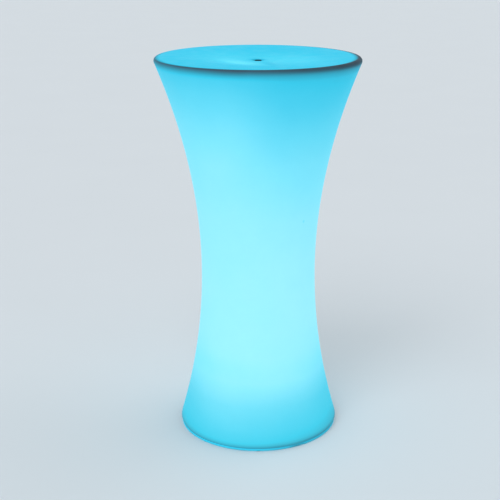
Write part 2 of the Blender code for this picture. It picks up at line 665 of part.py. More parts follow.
def build_button():
    """Bezel through the plate, its nut, the button in it and the switch that the button presses."""
    place = (-CONTROL_PITCH, board_y, 0)
    bore = BUTTON_RADIUS + SEAT_GAP
    barrel = barrel_radius("button")
    barrel_top = plate_top + SEAT_GAP + NUT_HEIGHT
    flange_top = plate_under - SEAT_GAP
    bezel = [(barrel, barrel_top), (barrel, flange_top), (barrel + BEZEL_FLANGE, flange_top),
             (barrel + BEZEL_FLANGE / 2, flange_top - BEZEL_HEIGHT), (bore, flange_top - BEZEL_HEIGHT),
             (bore, barrel_top)]
    turned("button_bezel", bezel, STEEL, SMALL_SIDES, closed=True, place=place)
    nut = ring_profile(barrel + SEAT_GAP, barrel + NUT_WALL, plate_top + SEAT_GAP, barrel_top)
    turned("button_nut", nut, NICKEL, SMALL_SIDES, closed=True, place=place)

    shoulder_under = barrel_top + SEAT_GAP
    shoulder_top = shoulder_under + BUTTON_SHOULDER
    switch_under = shoulder_top + BUTTON_TRAVEL + SEAT_GAP
    button_foot = flange_top - BEZEL_HEIGHT - BUTTON_PROUD
    button = [(0, switch_under + STEM_REACH), (STEM_RADIUS, switch_under + STEM_REACH),
              (STEM_RADIUS, shoulder_top), (BUTTON_RADIUS + BUTTON_SHOULDER, shoulder_top),
              (BUTTON_RADIUS + BUTTON_SHOULDER, shoulder_under), (BUTTON_RADIUS, shoulder_under),
              (BUTTON_RADIUS, button_foot + BUTTON_PROUD / 2),
              (BUTTON_RADIUS - BUTTON_PROUD / 2, button_foot), (0, button_foot)]
    turned("power_button", button, GREY_ABS, SMALL_SIDES, place=place)

    shape = bmesh.new()
    add_box(shape, (-CONTROL_PITCH - SWITCH_SIDE / 2, board_y - SWITCH_SIDE / 2, switch_under),
            (-CONTROL_PITCH + SWITCH_SIDE / 2, board_y + SWITCH_SIDE / 2, board_under - SEAT_GAP))
    switch = finish_shape("button_switch", shape, GREY_ABS)
    socket = bmesh.new()
    add_cylinder(socket, STEM_RADIUS + SEAT_GAP, switch_under - OVERRUN,
                 switch_under + STEM_REACH + BUTTON_TRAVEL + SEAT_GAP, SCREW_SIDES, place[:2])
    boolean(switch, "DIFFERENCE", socket)


def build_indicator_lens():
    profile = [(0, board_under - SEAT_GAP), (LENS_RADIUS, board_under - SEAT_GAP),
               (LENS_RADIUS, plate_top + SEAT_GAP + LENS_HEAD),
               (LENS_RADIUS + LENS_HEAD, plate_top + SEAT_GAP + LENS_HEAD),
               (LENS_RADIUS + LENS_HEAD, plate_top + SEAT_GAP), (LENS_RADIUS, plate_top + SEAT_GAP),
               (LENS_RADIUS, plate_under), (LENS_RADIUS / 2, plate_under - LENS_HEAD / 2),
               (0, plate_under - LENS_HEAD / 2)]
    turned("indicator_lens", profile, CLEAR, SCREW_SIDES, place=(0, board_y, 0))


def build_charge_socket():
    place = (CONTROL_PITCH, board_y, 0)
    barrel = barrel_radius("socket")
    flange_top = plate_under - SEAT_GAP
    mouth = flange_top - SOCKET_FLANGE_HEIGHT
    bore_end = mouth + SOCKET_BORE_DEPTH
    profile = [(0, board_under - SEAT_GAP), (barrel, board_under - SEAT_GAP), (barrel, flange_top),
               (socket_flange_radius, flange_top), (socket_flange_radius, mouth),
               (SOCKET_BORE_RADIUS, mouth), (SOCKET_BORE_RADIUS, bore_end),
               (SOCKET_PIN_RADIUS, bore_end), (SOCKET_PIN_RADIUS, bore_end - SOCKET_PIN_LENGTH),
               (0, bore_end - SOCKET_PIN_LENGTH)]
    turned("charge_socket", profile, GREY_ABS, SMALL_SIDES, place=place)
    nut = ring_profile(barrel + SEAT_GAP, barrel + NUT_WALL, plate_top + SEAT_GAP,
                       plate_top + SEAT_GAP + NUT_HEIGHT)
    turned("socket_nut", nut, NICKEL, SMALL_SIDES, closed=True, place=place)


def build_socket_cap():
    """Round flap with an arm to its knuckle; its origin is on the hinge's axis."""
    hinge = Vector((hinge_x, board_y, hinge_level))
    centre = CONTROL_PITCH - hinge_x
    shape = bmesh.new()
    add_cylinder(shape, cap_radius, -CAP_THICKNESS / 2, CAP_THICKNESS / 2, SMALL_SIDES, (centre, 0))
    cap = finish_shape("socket_cap", shape, RUBBER)
    cap.location = hinge
    bars = bmesh.new()
    half_arm = CAP_ARM_THICKNESS / 2
    add_box(bars, (centre + cap_radius / 2, -KNUCKLE_LENGTH / 2, -half_arm),
            (0, KNUCKLE_LENGTH / 2, half_arm))
    add_box(bars, (centre - cap_radius - CAP_LIFT_TAB, -CAP_LIFT_TAB, -half_arm),
            (centre - cap_radius / 2, CAP_LIFT_TAB, half_arm))
    knuckle = bmesh.new()
    hole = bmesh.new()
    lying = Matrix.Rotation(math.pi / 2, 4, "X")
    reach = KNUCKLE_LENGTH / 2 + OVERRUN
    add_cylinder(knuckle, knuckle_radius, -KNUCKLE_LENGTH / 2, KNUCKLE_LENGTH / 2, SCREW_SIDES, tilt=lying)
    add_cylinder(hole, HINGE_PIN_RADIUS + SEAT_GAP, -reach, reach, SCREW_SIDES, tilt=lying)
    for shape, operation in ((bars, "UNION"), (knuckle, "UNION"), (hole, "DIFFERENCE")):
        shape.transform(Matrix.Translation(hinge))
        boolean(cap, operation, shape)

    half_pin = KNUCKLE_LENGTH / 2 + SEAT_GAP + EAR_THICKNESS
    pin = bmesh.new()
    add_cylinder(pin, HINGE_PIN_RADIUS, -half_pin, half_pin, SCREW_SIDES, tilt=across(hinge_x, hinge_level))
    finish_shape("cap_hinge_pin", pin, STEEL)


def build_led_board():
    """Disc with two rings of light chips, fixed on the cup's edge."""
    profile = [(0, lamp_top), (lamp_radius, lamp_top), (lamp_radius, lamp_under), (0, lamp_under)]
    board = turned("led_board", profile, WHITE_BOARD, UNIT_SIDES)
    chips = bmesh.new()
    half = LED_SIDE / 2
    for x, y in (*on_circle(LED_RING_RADIUS, LED_RING_COUNT),
                 *on_circle(LED_INNER_RING_RADIUS, LED_INNER_RING_COUNT)):
        add_box(chips, (x - half, y - half, lamp_top - BOARD_WALL / 2),
                (x + half, y + half, lamp_top + LED_HEIGHT))
    boolean(board, "UNION", chips)
    drill_lamp(board, lamp_under, lamp_top)


def drill_lamp(thing, low, high):
    """The four holes through which the dome's screws pass."""
    holes = bmesh.new()
    for place in on_circle(dome_post_circle, 4, 1 / 2):
        add_cylinder(holes, SMALL_SCREW[0] + SEAT_GAP, low - OVERRUN, high + OVERRUN, SCREW_SIDES, place)
    boolean(thing, "DIFFERENCE", holes)


def build_lamp_cover():
    foot = lamp_top + SEAT_GAP
    reflector = [(REFLECTOR_RADIUS + REFLECTOR_FLARE, foot + REFLECTOR_HEIGHT),
                 (REFLECTOR_RADIUS + REFLECTOR_WALL, foot), (REFLECTOR_RADIUS, foot),
                 (REFLECTOR_RADIUS + REFLECTOR_FLARE - REFLECTOR_WALL, foot + REFLECTOR_HEIGHT)]
    turned("led_reflector", reflector, MIRROR_WHITE, UNIT_SIDES, closed=True)
    seal = turned("dome_seal", ring_profile(dome_radius, lamp_radius, foot, foot + SEAL_THICKNESS), RUBBER,
                  UNIT_SIDES, closed=True)
    drill_lamp(seal, foot, foot + SEAL_THICKNESS)

    quarter = [math.pi / 2 * step / (ARC_STEPS + 2) for step in range(ARC_STEPS + 3)]
    outer = [(dome_radius * math.sin(a), dome_flange_top + DOME_HEIGHT * math.cos(a)) for a in quarter]
    inner_radius = dome_radius - DOME_WALL
    inner_height = dome_flange_top + DOME_HEIGHT - DOME_WALL - dome_under
    inner = [(inner_radius * math.sin(a), dome_under + inner_height * math.cos(a)) for a in quarter]
    outer[0] = (0, outer[0][1])
    inner[0] = (0, inner[0][1])
    profile = [*outer, (lamp_radius, dome_flange_top), (lamp_radius, dome_under), *reversed(inner)]
    dome = turned("light_dome", profile, CLEAR, UNIT_SIDES)
    drill_lamp(dome, dome_under, dome_flange_top)
    seat = dome_flange_top + SEAT_GAP
    length = seat - cup_top + POST_BITE
    for number, (x, y) in enumerate(on_circle(dome_post_circle, 4, 1 / 2), 1):
        screw(f"dome_screw_{number}", SMALL_SCREW, length, (x, y, seat), head_down=False)


def lead(name, start, start_handle, end_handle, end):
    """A sleeved lead on one smooth curve, held at both of its ends."""
    corners = [Vector(point) for point in (start, start_handle, end_handle, end)]
    points = geometry.interpolate_bezier(*corners, LEAD_STEPS)
    curve = bpy.data.curves.new(name, "CURVE")
    curve.dimensions = "3D"
    curve.bevel_depth = LEAD_RADIUS
    curve.bevel_resolution = 2
    curve.use_fill_caps = True
    spline = curve.splines.new("POLY")
    spline.points.add(len(points) - 1)
    for slot, point in zip(spline.points, points):
        slot.co = (*point, 1)
    add_object(name, curve, LEAD_SLEEVE)


def build_leads():
    """From the nearest cell to the board, and from the board up to the lamp."""
    board_end = connector_box(1)[1][0] + SEAT_GAP
    socket_level = board_top + CONNECTOR_HEIGHT / 2
    cell_y = cell_rows()[0]
    cell_face = cell_end + SEAT_GAP + CELL_POLE_LENGTH
    lead("battery_lead", (cell_face, cell_y, cell_level), (cell_face + LEAD_SLACK, cell_y, cell_level),
         (board_end + LEAD_SLACK, board_y, socket_level), (board_end, board_y, socket_level))
    lead("led_lead", (-board_end, board_y, socket_level), (-board_end - LEAD_SLACK, board_y, socket_level),
         (-board_end - LEAD_SLACK / 2, board_y + LEAD_SLACK, lamp_under - HEAD_ROOM),
         (-board_end - LEAD_SLACK / 2, board_y + LEAD_SLACK, lamp_under - SEAT_GAP))


build_shell()
build_vent_plug()
build_pan()
build_feet_and_pan_screws()
build_housing()
build_gasket_and_module_screws()
build_battery()
build_control_board()
build_button()
build_indicator_lens()
build_charge_socket()
build_socket_cap()
build_led_board()
build_lamp_cover()
build_leads()
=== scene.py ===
"""Looks of the lit bar table: the milky shell with its glow, the pan, feet and screws under it, and
the light unit with its button, charging socket and hinged cap. Lengths are in metres."""

import math

import bpy
from mathutils import Matrix, Vector


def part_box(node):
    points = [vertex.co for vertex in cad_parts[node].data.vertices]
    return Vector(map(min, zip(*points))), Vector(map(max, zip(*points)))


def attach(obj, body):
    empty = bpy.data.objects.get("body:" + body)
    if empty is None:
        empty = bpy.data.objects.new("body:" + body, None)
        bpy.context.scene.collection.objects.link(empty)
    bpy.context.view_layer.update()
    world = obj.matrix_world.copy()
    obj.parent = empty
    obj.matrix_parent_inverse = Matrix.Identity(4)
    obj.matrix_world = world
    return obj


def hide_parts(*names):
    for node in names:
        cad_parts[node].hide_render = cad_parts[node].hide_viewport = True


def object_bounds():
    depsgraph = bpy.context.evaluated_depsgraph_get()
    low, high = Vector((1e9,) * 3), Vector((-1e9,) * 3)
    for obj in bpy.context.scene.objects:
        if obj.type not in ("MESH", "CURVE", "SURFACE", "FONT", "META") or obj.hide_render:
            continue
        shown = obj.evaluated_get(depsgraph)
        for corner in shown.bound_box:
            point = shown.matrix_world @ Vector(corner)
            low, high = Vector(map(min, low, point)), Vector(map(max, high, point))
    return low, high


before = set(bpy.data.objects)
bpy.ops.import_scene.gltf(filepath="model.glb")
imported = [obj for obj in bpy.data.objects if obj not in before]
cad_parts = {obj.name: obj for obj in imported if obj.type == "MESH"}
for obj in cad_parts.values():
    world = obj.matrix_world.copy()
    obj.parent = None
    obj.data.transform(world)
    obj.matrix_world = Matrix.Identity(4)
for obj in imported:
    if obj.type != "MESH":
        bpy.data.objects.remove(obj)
cad_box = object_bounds()

# The shell's outline, as in the construction
TOP_EDGE_RADIUS = 0.2954
WAIST_RADIUS = 0.1661
WAIST_HEIGHT = 0.480
BASE_RADIUS = 0.2400
RIM_ROUND = 0.0097
FOOT_ROUND = 0.0100
SHELL_WALL = 0.0050
TOP_WALL = 0.0060
RIM_FILL_WIDTH = 0.0300
RIM_FILL_DEPTH = 0.0260
DISH_DEPTH = 0.0108
LEDGE_WIDTH = 0.0400
LEDGE_WALL = 0.0060
VENT_HOLE_RADIUS = 0.0060
DIMPLE_RADIUS = 0.0225
DIMPLE_DEPTH = 0.0030
DIMPLE_FLAT = 0.0104

# The plug in its middle
PLUG_HEAD = 0.0018
PLUG_ROUND = 0.0012
# From the middle out: share of the radius, and depth under the top
PLUG_FACE = ((0.00, 0.0002), (0.30, 0.0), (0.52, 0.00005), (0.60, 0.00045), (0.68, 0.00025))
PLUG_BARB = (0.0011, 0.0046, 0.0050)       # how far it stands out, heights of its tip and root

# The pan, its feet and all screws
PAN_WALL = 0.0050
PAN_LIP_ROUND = 0.0016
WELL_CEILING_RADIUS = 0.1255
WELL_MOUTH_RADIUS = 0.1315
WELL_FILLET = 0.0045
WELL_BEVEL = 0.0020
PAN_OPENING = 0.0770
SCREW_RECESS = 0.0048
RECESS_DEPTH = 0.0025
PAD_EDGES = (0.0005, 0.0007)               # rounding above and below
PAD_GROOVES = (0.80, 0.55, 0.30)           # where they start, as shares of the radius
PAD_GROOVE = (-0.0014, -0.0004, 0.0005)    # width and slope towards the middle, depth
PAN_SCREW = (0.0020, 0.0042, 0.0022)       # radius of the shank and of the head, height of the head
UNIT_SCREW = (0.0016, 0.0034, 0.0018)
SMALL_SCREW = (0.0012, 0.0025, 0.0014)
HEAD_FLAT = 0.45                           # flat part of the head, as a share of its radius
HEAD_EDGE = 0.10                           # straight edge, as a share of its height
CROSS_RECESS = (0.60, 0.10, 0.60)          # half length, half width and depth, as shares of the head
THREAD_DEPTH = 0.14
SCREW_TIP = 0.80

# The light unit's housing
PLATE_WALL = 0.0030
FLANGE_EDGE = 0.0008
CUP_RADIUS = 0.0735
CUP_INNER_RADIUS = 0.0710
GROOVE_RADIUS = 0.0640
GROOVE_DEPTH = 0.0005
GROOVE_WIDTH = 0.0012
POST_RADII = (0.0038, 0.0032)              # those for the dome's screws, and all others
CLAMP_POST_HEIGHT = 0.0055
EAR_RADIUS = 0.0024
EAR_THICKNESS = 0.0022
EAR_EDGE = 0.00012
GASKET_ROUND = 0.22                        # as a share of its thickness
SEAL_ROUND = 0.25

# Controls under it
BEZEL_BARREL = 0.0086
BEZEL_HEIGHT = 0.0016
BEZEL_CHAMFER = 0.0003
BEZEL_CROWN = (0.0004, 0.0002, 0.0010)     # distance from the bore and from the edge, height
BUTTON_RADIUS = 0.0065
BUTTON_SHOULDER = 0.0010
BUTTON_EDGE = 0.0008
STEM_RADIUS = 0.0018
FINGER_DISH = 0.0006
SOCKET_BARREL = 0.0062
SOCKET_EDGE = 0.0006
SOCKET_BORE = 0.0040
SOCKET_BORE_DEPTH = 0.0095
SOCKET_LEAD_IN = 0.0005
SOCKET_FLANGE_HEIGHT = 0.0015
SOCKET_PIN = 0.0010
SOCKET_PIN_LENGTH = 0.0040
SOCKET_PIN_TIP = (0.6, 0.0004)             # share of the radius, height
LENS_RADIUS = 0.0025
LENS_HEAD = 0.0012
LENS_TIP = ((0.0, 0.0), (0.5, 0.00012), (0.85, 0.00035))   # share of the radius, height
CAP_THICKNESS = 0.0022
CAP_DISH = (0.62, 0.70, 0.0003)            # its edge, from and to as shares of the radius, and depth
CAP_EDGES = (0.0008, 0.0004)               # rounding below and above
CAP_ARM_THICKNESS = 0.0016
CAP_ARM_EDGE = 0.0003
CAP_TAB_EDGE = 0.0004
TAB_GROOVES = (0.0006, 0.0014, 0.0022)     # how far in they start
TAB_GROOVE = (0.0004, 0.0003, 0.8)         # width, depth, and length as a share of the tab's width
KNUCKLE_RADIUS = 0.0025
KNUCKLE_LENGTH = 0.0080
HINGE_PIN_RADIUS = 0.0010
PIN_EDGE = 0.0002

# Inside the light unit
CELL_POLE_RADIUS = 0.0035
CELL_POLE_HEIGHT = 0.0010
CELL_SLEEVE_WALL = 0.0002
CELL_LIP = 0.78                 # how far in the sleeve is folded over the ends, as a share of the radius
CELL_EDGE = 0.0005
CELL_GROOVE = (0.0030, 0.0036, 0.0042, 0.0048)    # from its start to its end, under the raised end
CELL_GROOVE_DEPTH = 0.0006
SADDLE_EDGE = 0.0005
SADDLE_TAB = (0.0080, 0.0120, 0.0030)      # length, width and wall of the holder's tabs
SADDLE_TAB_EDGE = 0.0004
SADDLE_WINDOW = (0.0070, 0.0190, 0.0022)   # from, to and half the width of its openings
SADDLE_WINDOW_EDGE = 0.0008
BOARD_WALL = 0.0016
BOARD_EDGE = 0.0003
CHIP = (0.0100, 0.0016)         # side and height of the controller's chip
CHIP_EDGE = 0.0002
CHIP_LEGS = 8
CHIP_LEG = (0.00025, 0.0010, 0.00064)      # half width, half length and height
CHIP_LEG_EDGE = 0.00008
COIL_RADIUS = 0.0050
COIL_FLANGE = 0.0005
COIL_WIRE = (0.90, 0.96)        # the turns' inner and outer reach, as shares of the radius
COIL_WIRE_START = 0.0006
COIL_DISH = (0.3, 0.0010)       # share of the radius, depth
CONNECTOR = (0.0005, 0.0080, 0.0100)       # inset, length and width
CONNECTOR_SLOTS = (-0.25, 0.25)            # where they lie, as shares of the width
CONNECTOR_SLOT = (0.0015, 0.08, 0.0012)    # distance from the ends, half width as a share, depth
LIGHT_RINGS = ((0.0380, 12), (0.0180, 6))  # radius and count of the light chips
LIGHT_SIDE = 0.0050
LIGHT_EDGE = 0.0003
# From the middle out and down: share of half the side, and depth under the top
LIGHT_WINDOW = ((0.0, 0.0), (0.5, 0.00006), (0.75, 0.0002), (0.8, 0.0005), (0.0, 0.0005))
REFLECTOR = (0.0460, 0.0015, 0.0060)       # foot's inner radius, wall and flare
LAMP_EDGE = 0.0004
DOME_FLANGE = (0.0100, 0.0030)  # width and wall
DOME_WALL = 0.0022
DOME_RIDGE = 0.0004
DOME_STEPS = 48
NUT_EDGE = 0.0003
SWITCH_STEP = 0.0010            # height of the switch's collar and of its pins
SWITCH_EDGE = 0.0006
SWITCH_PIN = (0.0004, 0.0002)   # half its sizes
SWITCH_PIN_EDGE = 0.0001
SWITCH_PIN_REACH = 0.6
STEM_ROOM = 0.0015

# How finely things are drawn
SHELL_SIDES = 192
OUTSIDE_STEPS = (26, 18)        # above the waist and below it
INSIDE_STEPS = (12, 10)
RIM_STEPS = 14
FOOT_STEPS = 8
DIMPLE_STEPS = 8
DISH_STEPS = 22
CEILING_STEPS = 12
THREAD_STEPS = 10
UNIT_SIDES = 128
KNOB_SIDES = 64
SCREW_SIDES = 32
SMOOTH_ANGLE = math.radians(32)
SHARP_ANGLE = math.radians(50)
QUARTER = math.pi / 2
SEAT_GAP = 0.0003
OVERRUN = 0.0010
MERGE_REACH = 0.00001

TABLE_HEIGHT = cad_box[1].z
plate_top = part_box("module_gasket")[0].z - SEAT_GAP
plate_under = plate_top - PLATE_WALL
SMALL_HOLE = SMALL_SCREW[0] + SEAT_GAP


def middle_of(node):
    low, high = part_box(node)
    return (low + high) / 2


def half_width(node):
    low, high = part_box(node)
    return (high.x - low.x) / 2


def places(node, count):
    """Where a node's numbered copies stand on the plan."""
    return [middle_of(f"{node}_{number}").xy for number in range(1, count + 1)]


# Modelling by hand, in code
def clear_selection():
    if bpy.context.object and bpy.context.object.mode != "OBJECT":
        bpy.ops.object.mode_set(mode="OBJECT")
    bpy.ops.object.select_all(action="DESELECT")


def pick(piece):
    clear_selection()
    piece.select_set(True)
    bpy.context.view_layer.objects.active = piece


def apply_place():
    bpy.ops.object.transform_apply(location=True, rotation=True, scale=True)


def finished(piece, name, material, node, body="root"):
    """Names a piece, puts its place in its mesh, smooths it and dresses it; it stands for a node."""
    pick(piece)
    piece.name = name
    piece.data.name = name
    apply_place()
    bpy.ops.object.shade_smooth_by_angle(angle=SMOOTH_ANGLE)
    piece.data.materials.clear()
    piece.data.materials.append(material)
    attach(piece, body)
    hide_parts(node)


def turn(rings, sides, centre=(0, 0), closed=False):
    """Draws a circle out ring by ring; a ring is (radius, height), and a radius of 0 shuts an end.

    With closed, the last ring joins the first, as in a tube or a hollow moulding.
    """
    capped = rings[0][0] == 0
    drawn = list(rings[1:] if capped else rings)
    if closed:
        drawn.append(drawn[0])
    (radius, height), *rest = drawn
    clear_selection()
    bpy.ops.mesh.primitive_circle_add(vertices=sides, radius=radius, location=(*centre, height))
    piece = bpy.context.object
    bpy.ops.object.mode_set(mode="EDIT")
    bpy.ops.mesh.select_mode(type="VERT")
    bpy.ops.mesh.select_all(action="SELECT")
    if capped:
        close_end(rings[0][1] - height)
        select_rim(piece, radius / 2)
    for next_radius, next_height in rest:
        if next_radius == 0:
            close_end(next_height - height)
            break
        rise = (0, 0, next_height - height)
        bpy.ops.mesh.extrude_region_move(TRANSFORM_OT_translate={"value": rise})
        size = next_radius / radius
        bpy.ops.transform.resize(value=(size, size, 1), center_override=(*centre, next_height))
        radius, height = next_radius, next_height
    bpy.ops.mesh.select_all(action="SELECT")
    bpy.ops.mesh.remove_doubles(threshold=MERGE_REACH)
    bpy.ops.mesh.normals_make_consistent(inside=False)
    bpy.ops.object.mode_set(mode="OBJECT")
    apply_place()
    return piece


def close_end(rise):
    """Draws the selected ring in to a point on the axis."""
    bpy.ops.mesh.extrude_region_move(TRANSFORM_OT_translate={"value": (0, 0, rise)})
    bpy.ops.mesh.merge(type="CENTER")


def select_rim(piece, reach):
    """Selects, in edit mode, the points that lie further out than reach."""
    bpy.ops.mesh.select_all(action="DESELECT")
    bpy.ops.object.mode_set(mode="OBJECT")
    for point in piece.data.vertices:
        point.select = point.co.xy.length > reach
    bpy.ops.object.mode_set(mode="EDIT")
    bpy.ops.mesh.select_mode(type="VERT")


def soften(piece, edge, segments=3):
    """Rounds a piece's sharp edges."""
    pick(piece)
    bpy.ops.object.mode_set(mode="EDIT")
    bpy.ops.mesh.select_mode(type="EDGE")
    bpy.ops.mesh.select_all(action="DESELECT")
    bpy.ops.mesh.edges_select_sharp(sharpness=SHARP_ANGLE)
    bpy.ops.mesh.bevel(offset=edge, segments=segments, profile=0.5)
    bpy.ops.object.mode_set(mode="OBJECT")
    return piece


def rounded_block(low, high, edge):
    """A block between two corners, with its edges rounded."""
    low, high = Vector(low), Vector(high)
    clear_selection()
    bpy.ops.mesh.primitive_cube_add(size=1, location=(low + high) / 2)
    block = bpy.context.object
    block.scale = high - low
    apply_place()
    return soften(block, edge)


def upright_block(middle, half_sizes, low, high, edge):
    """A rounded block round a place on the plan, from low to high."""
    (x, y), (half_x, half_y) = middle, half_sizes
    return rounded_block((x - half_x, y - half_y, low), (x + half_x, y + half_y, high), edge)


def round_bar(radius, length, middle, turned=(0, 0, 0), edge=0.0, sides=SCREW_SIDES):
    """A round bar along Z, or turned, with its end edges rounded."""
    clear_selection()
    bpy.ops.mesh.primitive_cylinder_add(vertices=sides, radius=radius, depth=length,
                                        location=middle, rotation=turned)
    bar = bpy.context.object
    apply_place()
    return soften(bar, edge) if edge else bar


def upright_bar(radius, low, high, spot):
    return round_bar(radius, high - low, (*spot, (low + high) / 2))


def lying_bar(radius, length, middle, edge=0.0):
    """A round bar along Y."""
    return round_bar(radius, length, middle, (QUARTER, 0, 0), edge)


def joined(pieces):
    """Several pieces as one object."""
    pick(pieces[0])
    for piece in pieces:
        piece.select_set(True)
    if len(pieces) > 1:
        bpy.ops.object.join()
    return pieces[0]


def carve(piece, operation, tools):
    """Applies a Boolean with tools, which are then thrown away."""
    tool = joined(tools)
    pick(piece)
    bpy.ops.object.modifier_add(type="BOOLEAN")
    change = piece.modifiers[-1]
    change.operation = operation
    change.solver = "EXACT"
    change.object = tool
    bpy.ops.object.modifier_apply(modifier=change.name)
    bpy.data.objects.remove(tool, do_unlink=True)


def cut(piece, *tools):
    carve(piece, "DIFFERENCE", tools)


def weld(piece, *tools):
    carve(piece, "UNION", tools)


def drill(piece, radius, low, high, spots):
    """Cuts upright holes that reach past both heights."""
    cut(piece, *[upright_bar(radius, low - OVERRUN, high + OVERRUN, spot) for spot in spots])


def copies(first, spots, turned=0.0):
    """Copies of a piece, each turned on by the same angle; the first one is thrown away."""
    made = []
    for number, spot in enumerate(spots, 1):
        pick(first)
        bpy.ops.object.duplicate(linked=False)
        double = bpy.context.object
        double.matrix_world = Matrix.Translation((*spot, 0)) @ Matrix.Rotation(turned * number, 4, "Z")
        made.append(double)
    bpy.data.objects.remove(first, do_unlink=True)
    return made


def spread(low, high, steps):
    """Evenly spaced values, with both ends."""
    return [low + (high - low) * step / steps for step in range(steps + 1)]


def between(low, high, steps):
    """The same, without the ends."""
    return spread(low, high, steps)[1:-1]


def arc(centre, radius, start, end, steps):
    """Rings along an arc; the angles are in radians from the outward direction."""
    return [(centre[0] + radius * math.cos(angle), centre[1] + radius * math.sin(angle))
            for angle in spread(start, end, steps)]


def rounded(corners):
    """Rings through an outline's corners: (radius, height), or (radius, height, rounding, steps)."""
    rings = []
    for index, (radius, height, *rounding) in enumerate(corners):
        if not rounding:
            rings.append((radius, height))
            continue
        reach, steps = rounding
        here = Vector((radius, height))
        before, after = ((Vector(corners[near % len(corners)][:2]) - here).normalized()
                         for near in (index - 1, index + 1))
        half = before.angle(after) / 2
        to_middle = (before + after).normalized() * reach / math.sin(half)
        start, end = (way * reach / math.tan(half) - to_middle for way in (before, after))
        begin = math.atan2(start.y, start.x)
        sweep = math.copysign(math.pi - 2 * half, start.cross(end))
        rings += arc(here + to_middle, reach, begin, begin + sweep, steps)
    return rings


def ring_section(inner, outer, low, high, rounding, steps):
    """A flat ring's closed outline."""
    return rounded([(radius, height, rounding, steps) for radius, height in
                    ((inner, low), (outer, low), (outer, high), (inner, high))])


def groove(start, width, slope, level, depth):
    """Rings of a groove with sloping sides, cut upwards into a face."""
    return [(start, level), (start + slope, level + depth),
            (start + width - slope, level + depth), (start + width, level)]


# Finishes
def feed(tree, socket, value):
    """Links another node's output to a socket, or sets the socket's value."""
    if isinstance(value, bpy.types.NodeSocket):
        tree.links.new(value, socket)
    else:
        socket.default_value = (*value, 1.0) if socket.type == "RGBA" else value


def add_node(tree, kind, output, inputs=None, **settings):
    """Adds a node with its settings and inputs, and gives one of its outputs."""
    node = tree.nodes.new(kind)
    for key, value in settings.items():
        setattr(node, key, value)
    for key, value in (inputs or {}).items():
        feed(tree, node.inputs[key], value)
    return node.outputs[output]


class Finish:
    """A material on one Principled shader, with the nodes that feed it."""

    def __init__(self, name, metallic=0.0, specular=0.5):
        self.material = bpy.data.materials.new(name)
        self.material.use_nodes = True
        self.tree = self.material.node_tree
        self.shader = self.tree.nodes["Principled BSDF"]
        self.set("Metallic", metallic)
        self.set("Specular IOR Level", specular)
        self.place = self.add("ShaderNodeTexCoord", "Object")

    def set(self, key, value):
        feed(self.tree, self.shader.inputs[key], value)

    def add(self, kind, output, inputs=None, **settings):
        return add_node(self.tree, kind, output, inputs, **settings)

    def maths(self, operation, *values):
        return self.add("ShaderNodeMath", 0, dict(enumerate(values)), operation=operation)

    def plus(self, first, *others):
        for other in others:
            first = self.maths("ADD", first, other)
        return first

    def times(self, first, second):
        return self.maths("MULTIPLY", first, second)

    def fade(self, value, start, end, low=0.0, high=1.0):
        """Eases from low to high as value goes from start to end."""
        inputs = {"Value": value, "From Min": start, "From Max": end, "To Min": low, "To Max": high}
        return self.add("ShaderNodeMapRange", "Result", inputs, interpolation_type="SMOOTHSTEP")

    def along(self, axis):
        return self.add("ShaderNodeSeparateXYZ", axis, {0: self.place})

    def moved(self, place=(0, 0, 0), turned=(0, 0, 0), size=(1, 1, 1)):
        """Object coordinates as seen from a place, turned and measured in sizes."""
        inputs = {"Vector": self.place, "Location": place, "Rotation": turned, "Scale": size}
        return self.add("ShaderNodeMapping", "Vector", inputs, vector_type="TEXTURE")

    def reach(self, vector):
        return self.add("ShaderNodeVectorMath", "Value", {0: vector}, operation="LENGTH")

    def outward(self, place=(0, 0, 0)):
        """Distance from the table's axis, or from an upright one at a place."""
        return self.reach(self.moved(place, size=(1, 1, ALL_HEIGHTS)))

    def spot(self, place, turned, size):
        """1 in the middle of a soft oval patch, 0 from its edge on."""
        return self.fade(self.reach(self.moved(place, (0, 0, turned), size)), 1.0, 0.0)

    def noise(self, grain, detail=2.0, stretch=(1, 1, 1), roughness=0.5):
        """Noise with features about as large as grain, in metres."""
        inputs = {"Vector": self.moved(size=stretch), "Scale": 1 / grain,
                  "Detail": detail, "Roughness": roughness}
        return self.add("ShaderNodeTexNoise", "Fac", inputs)

    def ramp(self, value, stops):
        """Colour by value; a stop is (position, colour)."""
        colours = self.add("ShaderNodeValToRGB", "Color", {"Fac": value})
        elements = colours.node.color_ramp.elements
        while len(elements) < len(stops):
            elements.new(1.0)
        for element, (position, colour) in zip(elements, stops):
            element.position = position
            element.color = (*colour, 1.0)
        return colours

    def mixed(self, share, first, second, kind="RGBA", how="MIX"):
        """From the first colour, or number, to the second as share goes from 0 to 1."""
        inputs = {"Factor": share, "A": first, "B": second}
        return self.add("ShaderNodeMix", "Result", inputs, data_type=kind, blend_type=how)

    def multiplied(self, colour, factors, share=1.0):
        """A colour times factors, or only partly so where share is below 1."""
        return self.mixed(share, colour, factors, how="MULTIPLY")

    def tint(self, colour, share, low, high):
        """Multiplies a colour by a factor between low and high."""
        return self.multiplied(colour, self.ramp(share, [(0, (low,) * 3), (1, (high,) * 3)]))

    def bump(self, *layers):
        """Layers of relief: (height from 0 to 1, depth in metres) each."""
        inputs = {}
        for height, depth in layers:
            inputs |= {"Height": height, "Distance": depth}
            inputs["Normal"] = self.add("ShaderNodeBump", "Normal", inputs)
        self.set("Normal", inputs["Normal"])

    def surface(self, colour, roughness):
        self.set("Base Color", colour)
        self.set("Roughness", roughness)


def from_screen(red, green, blue):
    """A colour given as it shows on screen, 0 to 255, as a linear one."""
    def linear(value):
        value /= 255
        return value / 12.92 if value <= 0.04045 else ((value + 0.055) / 1.055) ** 2.4
    return tuple(linear(value) for value in (red, green, blue))


